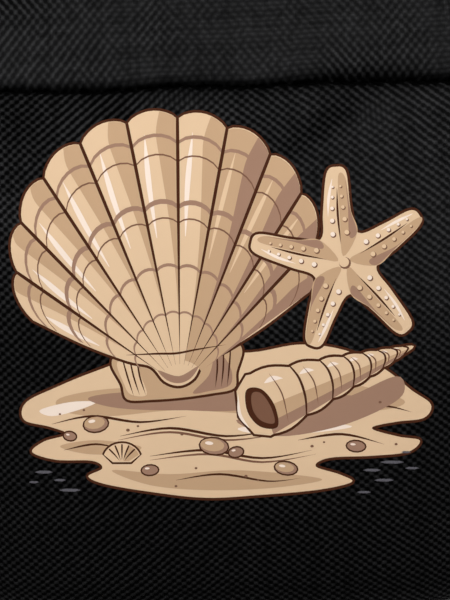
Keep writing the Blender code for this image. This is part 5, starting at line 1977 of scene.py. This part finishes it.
def honeycomb(width, height, pitch):
    """Hexagon net over a rectangle; cells on the border are squeezed to end on it."""
    index, verts, faces = {}, [], []
    dy = pitch * math.sqrt(3) / 2
    r = pitch / math.sqrt(3)
    row = 0
    y = 0.0
    while y <= height + 0.5 * dy:
        x = 0.5 * pitch * (row % 2)
        while x <= width + 0.25 * pitch:
            face_ = []
            for k in range(6):
                w = math.pi / 3 * k + math.pi / 6
                px, py = x + r * math.cos(w), y + r * math.sin(w)
                px, py = min(max(px, 0.0), width), min(max(py, 0.0), height)
                key = (round(px, 3), round(py, 3))
                if key not in index:
                    index[key] = len(verts)
                    verts.append((px, py))
                if index[key] not in face_:
                    face_.append(index[key])
            if len(face_) > 2:
                faces.append(face_)
            x += pitch
        y += dy
        row += 1
    return np.array(verts), faces


for hand, name in ((1.0, "right"), (-1.0, "left")):
    flat, faces = honeycomb(106.0, 89.0, 3.5)
    # spread the net evenly over the wall's own width
    tt = np.linspace(0.0, 1.0, 400)
    rim_line = pocket_wall(tt, np.full(400, 90.0), hand)
    wall_run = run_of(rim_line)
    t = np.interp(flat[:, 0] / 106.0 * wall_run[-1], wall_run, tt)
    z = 38.2 + flat[:, 1]
    verts = pocket_wall(t, z, hand)
    sag = 0.8 * soft_noise(flat[:, 0], flat[:, 1], 30.0, 51.0 + hand) * np.sin(np.pi * np.clip(t, 0, 1))
    verts[:, 0] += hand * np.clip(sag, -1.2, 0.6)
    net = mesh_from("side_pocket_" + name + "_net", verts, faces, smooth=False)
    # tiny faces make no cell
    bm = bmesh.new()
    bm.from_mesh(net.data)
    bmesh.ops.dissolve_degenerate(bm, dist=1e-6, edges=bm.edges)
    bmesh.ops.recalc_face_normals(bm, faces=bm.faces)
    bm.to_mesh(net.data)
    bm.free()
    wire = net.modifiers.new("net", "WIREFRAME")
    wire.thickness = 0.62 * MM
    wire.use_even_offset = False
    wire.use_boundary = True
    wire.use_replace = True
    apply_all(net)
    net.data.shade_smooth()
    belongs(net, NET, "side_pocket_" + name)
    # the gathered elastic binding along its top
    tt = np.linspace(0.0, 1.0, 600)
    rail = pocket_wall(tt, np.full(600, 132.0), hand, 1.2)
    rail = evenly(rail, 0.55)
    run = run_of(rail)
    side, up_ = frames_along(rail, (0.0, 0.0, 1.0))
    gather = 0.26 * np.sin(run * 2 * np.pi / 2.7 + 0.8 * soft_noise(run, 0 * run, 6.0, 3.0))
    profile = np.repeat(strip_profile(9.6, 2.0, 6, 0.9)[None], len(rail), 0)
    profile[..., 1] += gather[:, None] * (1.0 - (np.abs(profile[..., 0]) / 4.9) ** 4)
    trim = sweep("side_binding_" + name + "_elastic", rail, side, up_, profile)
    belongs(trim, BINDING, "side_binding_" + name)
    # narrow tapes that hold the net's edges to the gusset
    edges_ = []
    for t_ in (0.0, 1.0):
        zz = np.linspace(38.0, 127.0, 40)
        rail = pocket_wall(np.full(40, t_), zz, hand)
        rail[:, 0] = hand * 131.0
        rail[:, 1] += 1.2 if t_ == 0.0 else -1.2
        s2, u2 = frames_along(rail, (0.0, 1.0, 0.0))
        edges_.append(sweep(f"net_edge_{name}_{t_}", rail, s2, u2, strip_profile(4.6, 1.3, 4, 0.4)))
    tt = np.linspace(0.02, 0.98, 60)
    rail = pocket_wall(tt, np.full(60, 38.8), hand)
    rail[:, 0] = hand * 131.0
    s2, u2 = frames_along(rail, (0.0, 0.0, 1.0))
    edges_.append(sweep(f"net_foot_{name}", rail, s2, u2, strip_profile(4.6, 1.3, 4, 0.4)))
    hem_ = joined("side_pocket_" + name + "_tape", edges_)
    belongs(hem_, BINDING, "side_pocket_" + name)

# ------------------------------------------------------------------ stitches of the body

body_runs = []
path, face = main_zip_line(1.5)
for edge in (-11.6, 11.6):
    lane = path + np.array((0.0, edge, 0.0)) + face * 0.12
    body_runs.append((lane[2:-2], face[2:-2], 3.0, 2.2))
belongs(make_stitches("main_zip_stitches", body_runs, 0.27), THREAD, "main_zip")

# ------------------------------------------------------------------ floor

bpy.ops.mesh.primitive_plane_add(size=24.0, location=(0, 0, -0.0005))
floor = bpy.context.active_object
floor.name = "floor"
f = Nodes("floor")
# painted light: the floor glows, more the farther it lies, so the far floor melts into the studio's horizon
spot = f.node("ShaderNodeTexCoord").outputs["Object"]
reach = f.node("ShaderNodeVectorMath", operation="LENGTH")
f.put(reach.inputs[0], spot)
glow = f.step(reach.outputs["Value"], 0.9, 2.6, 0.0, 0.13)
f.set(Base_Color=(0.50, 0.495, 0.49, 1.0), Roughness=0.7, Emission_Color=(1.0, 1.0, 1.03, 1.0), Emission_Strength=glow)
give(floor, f.material)

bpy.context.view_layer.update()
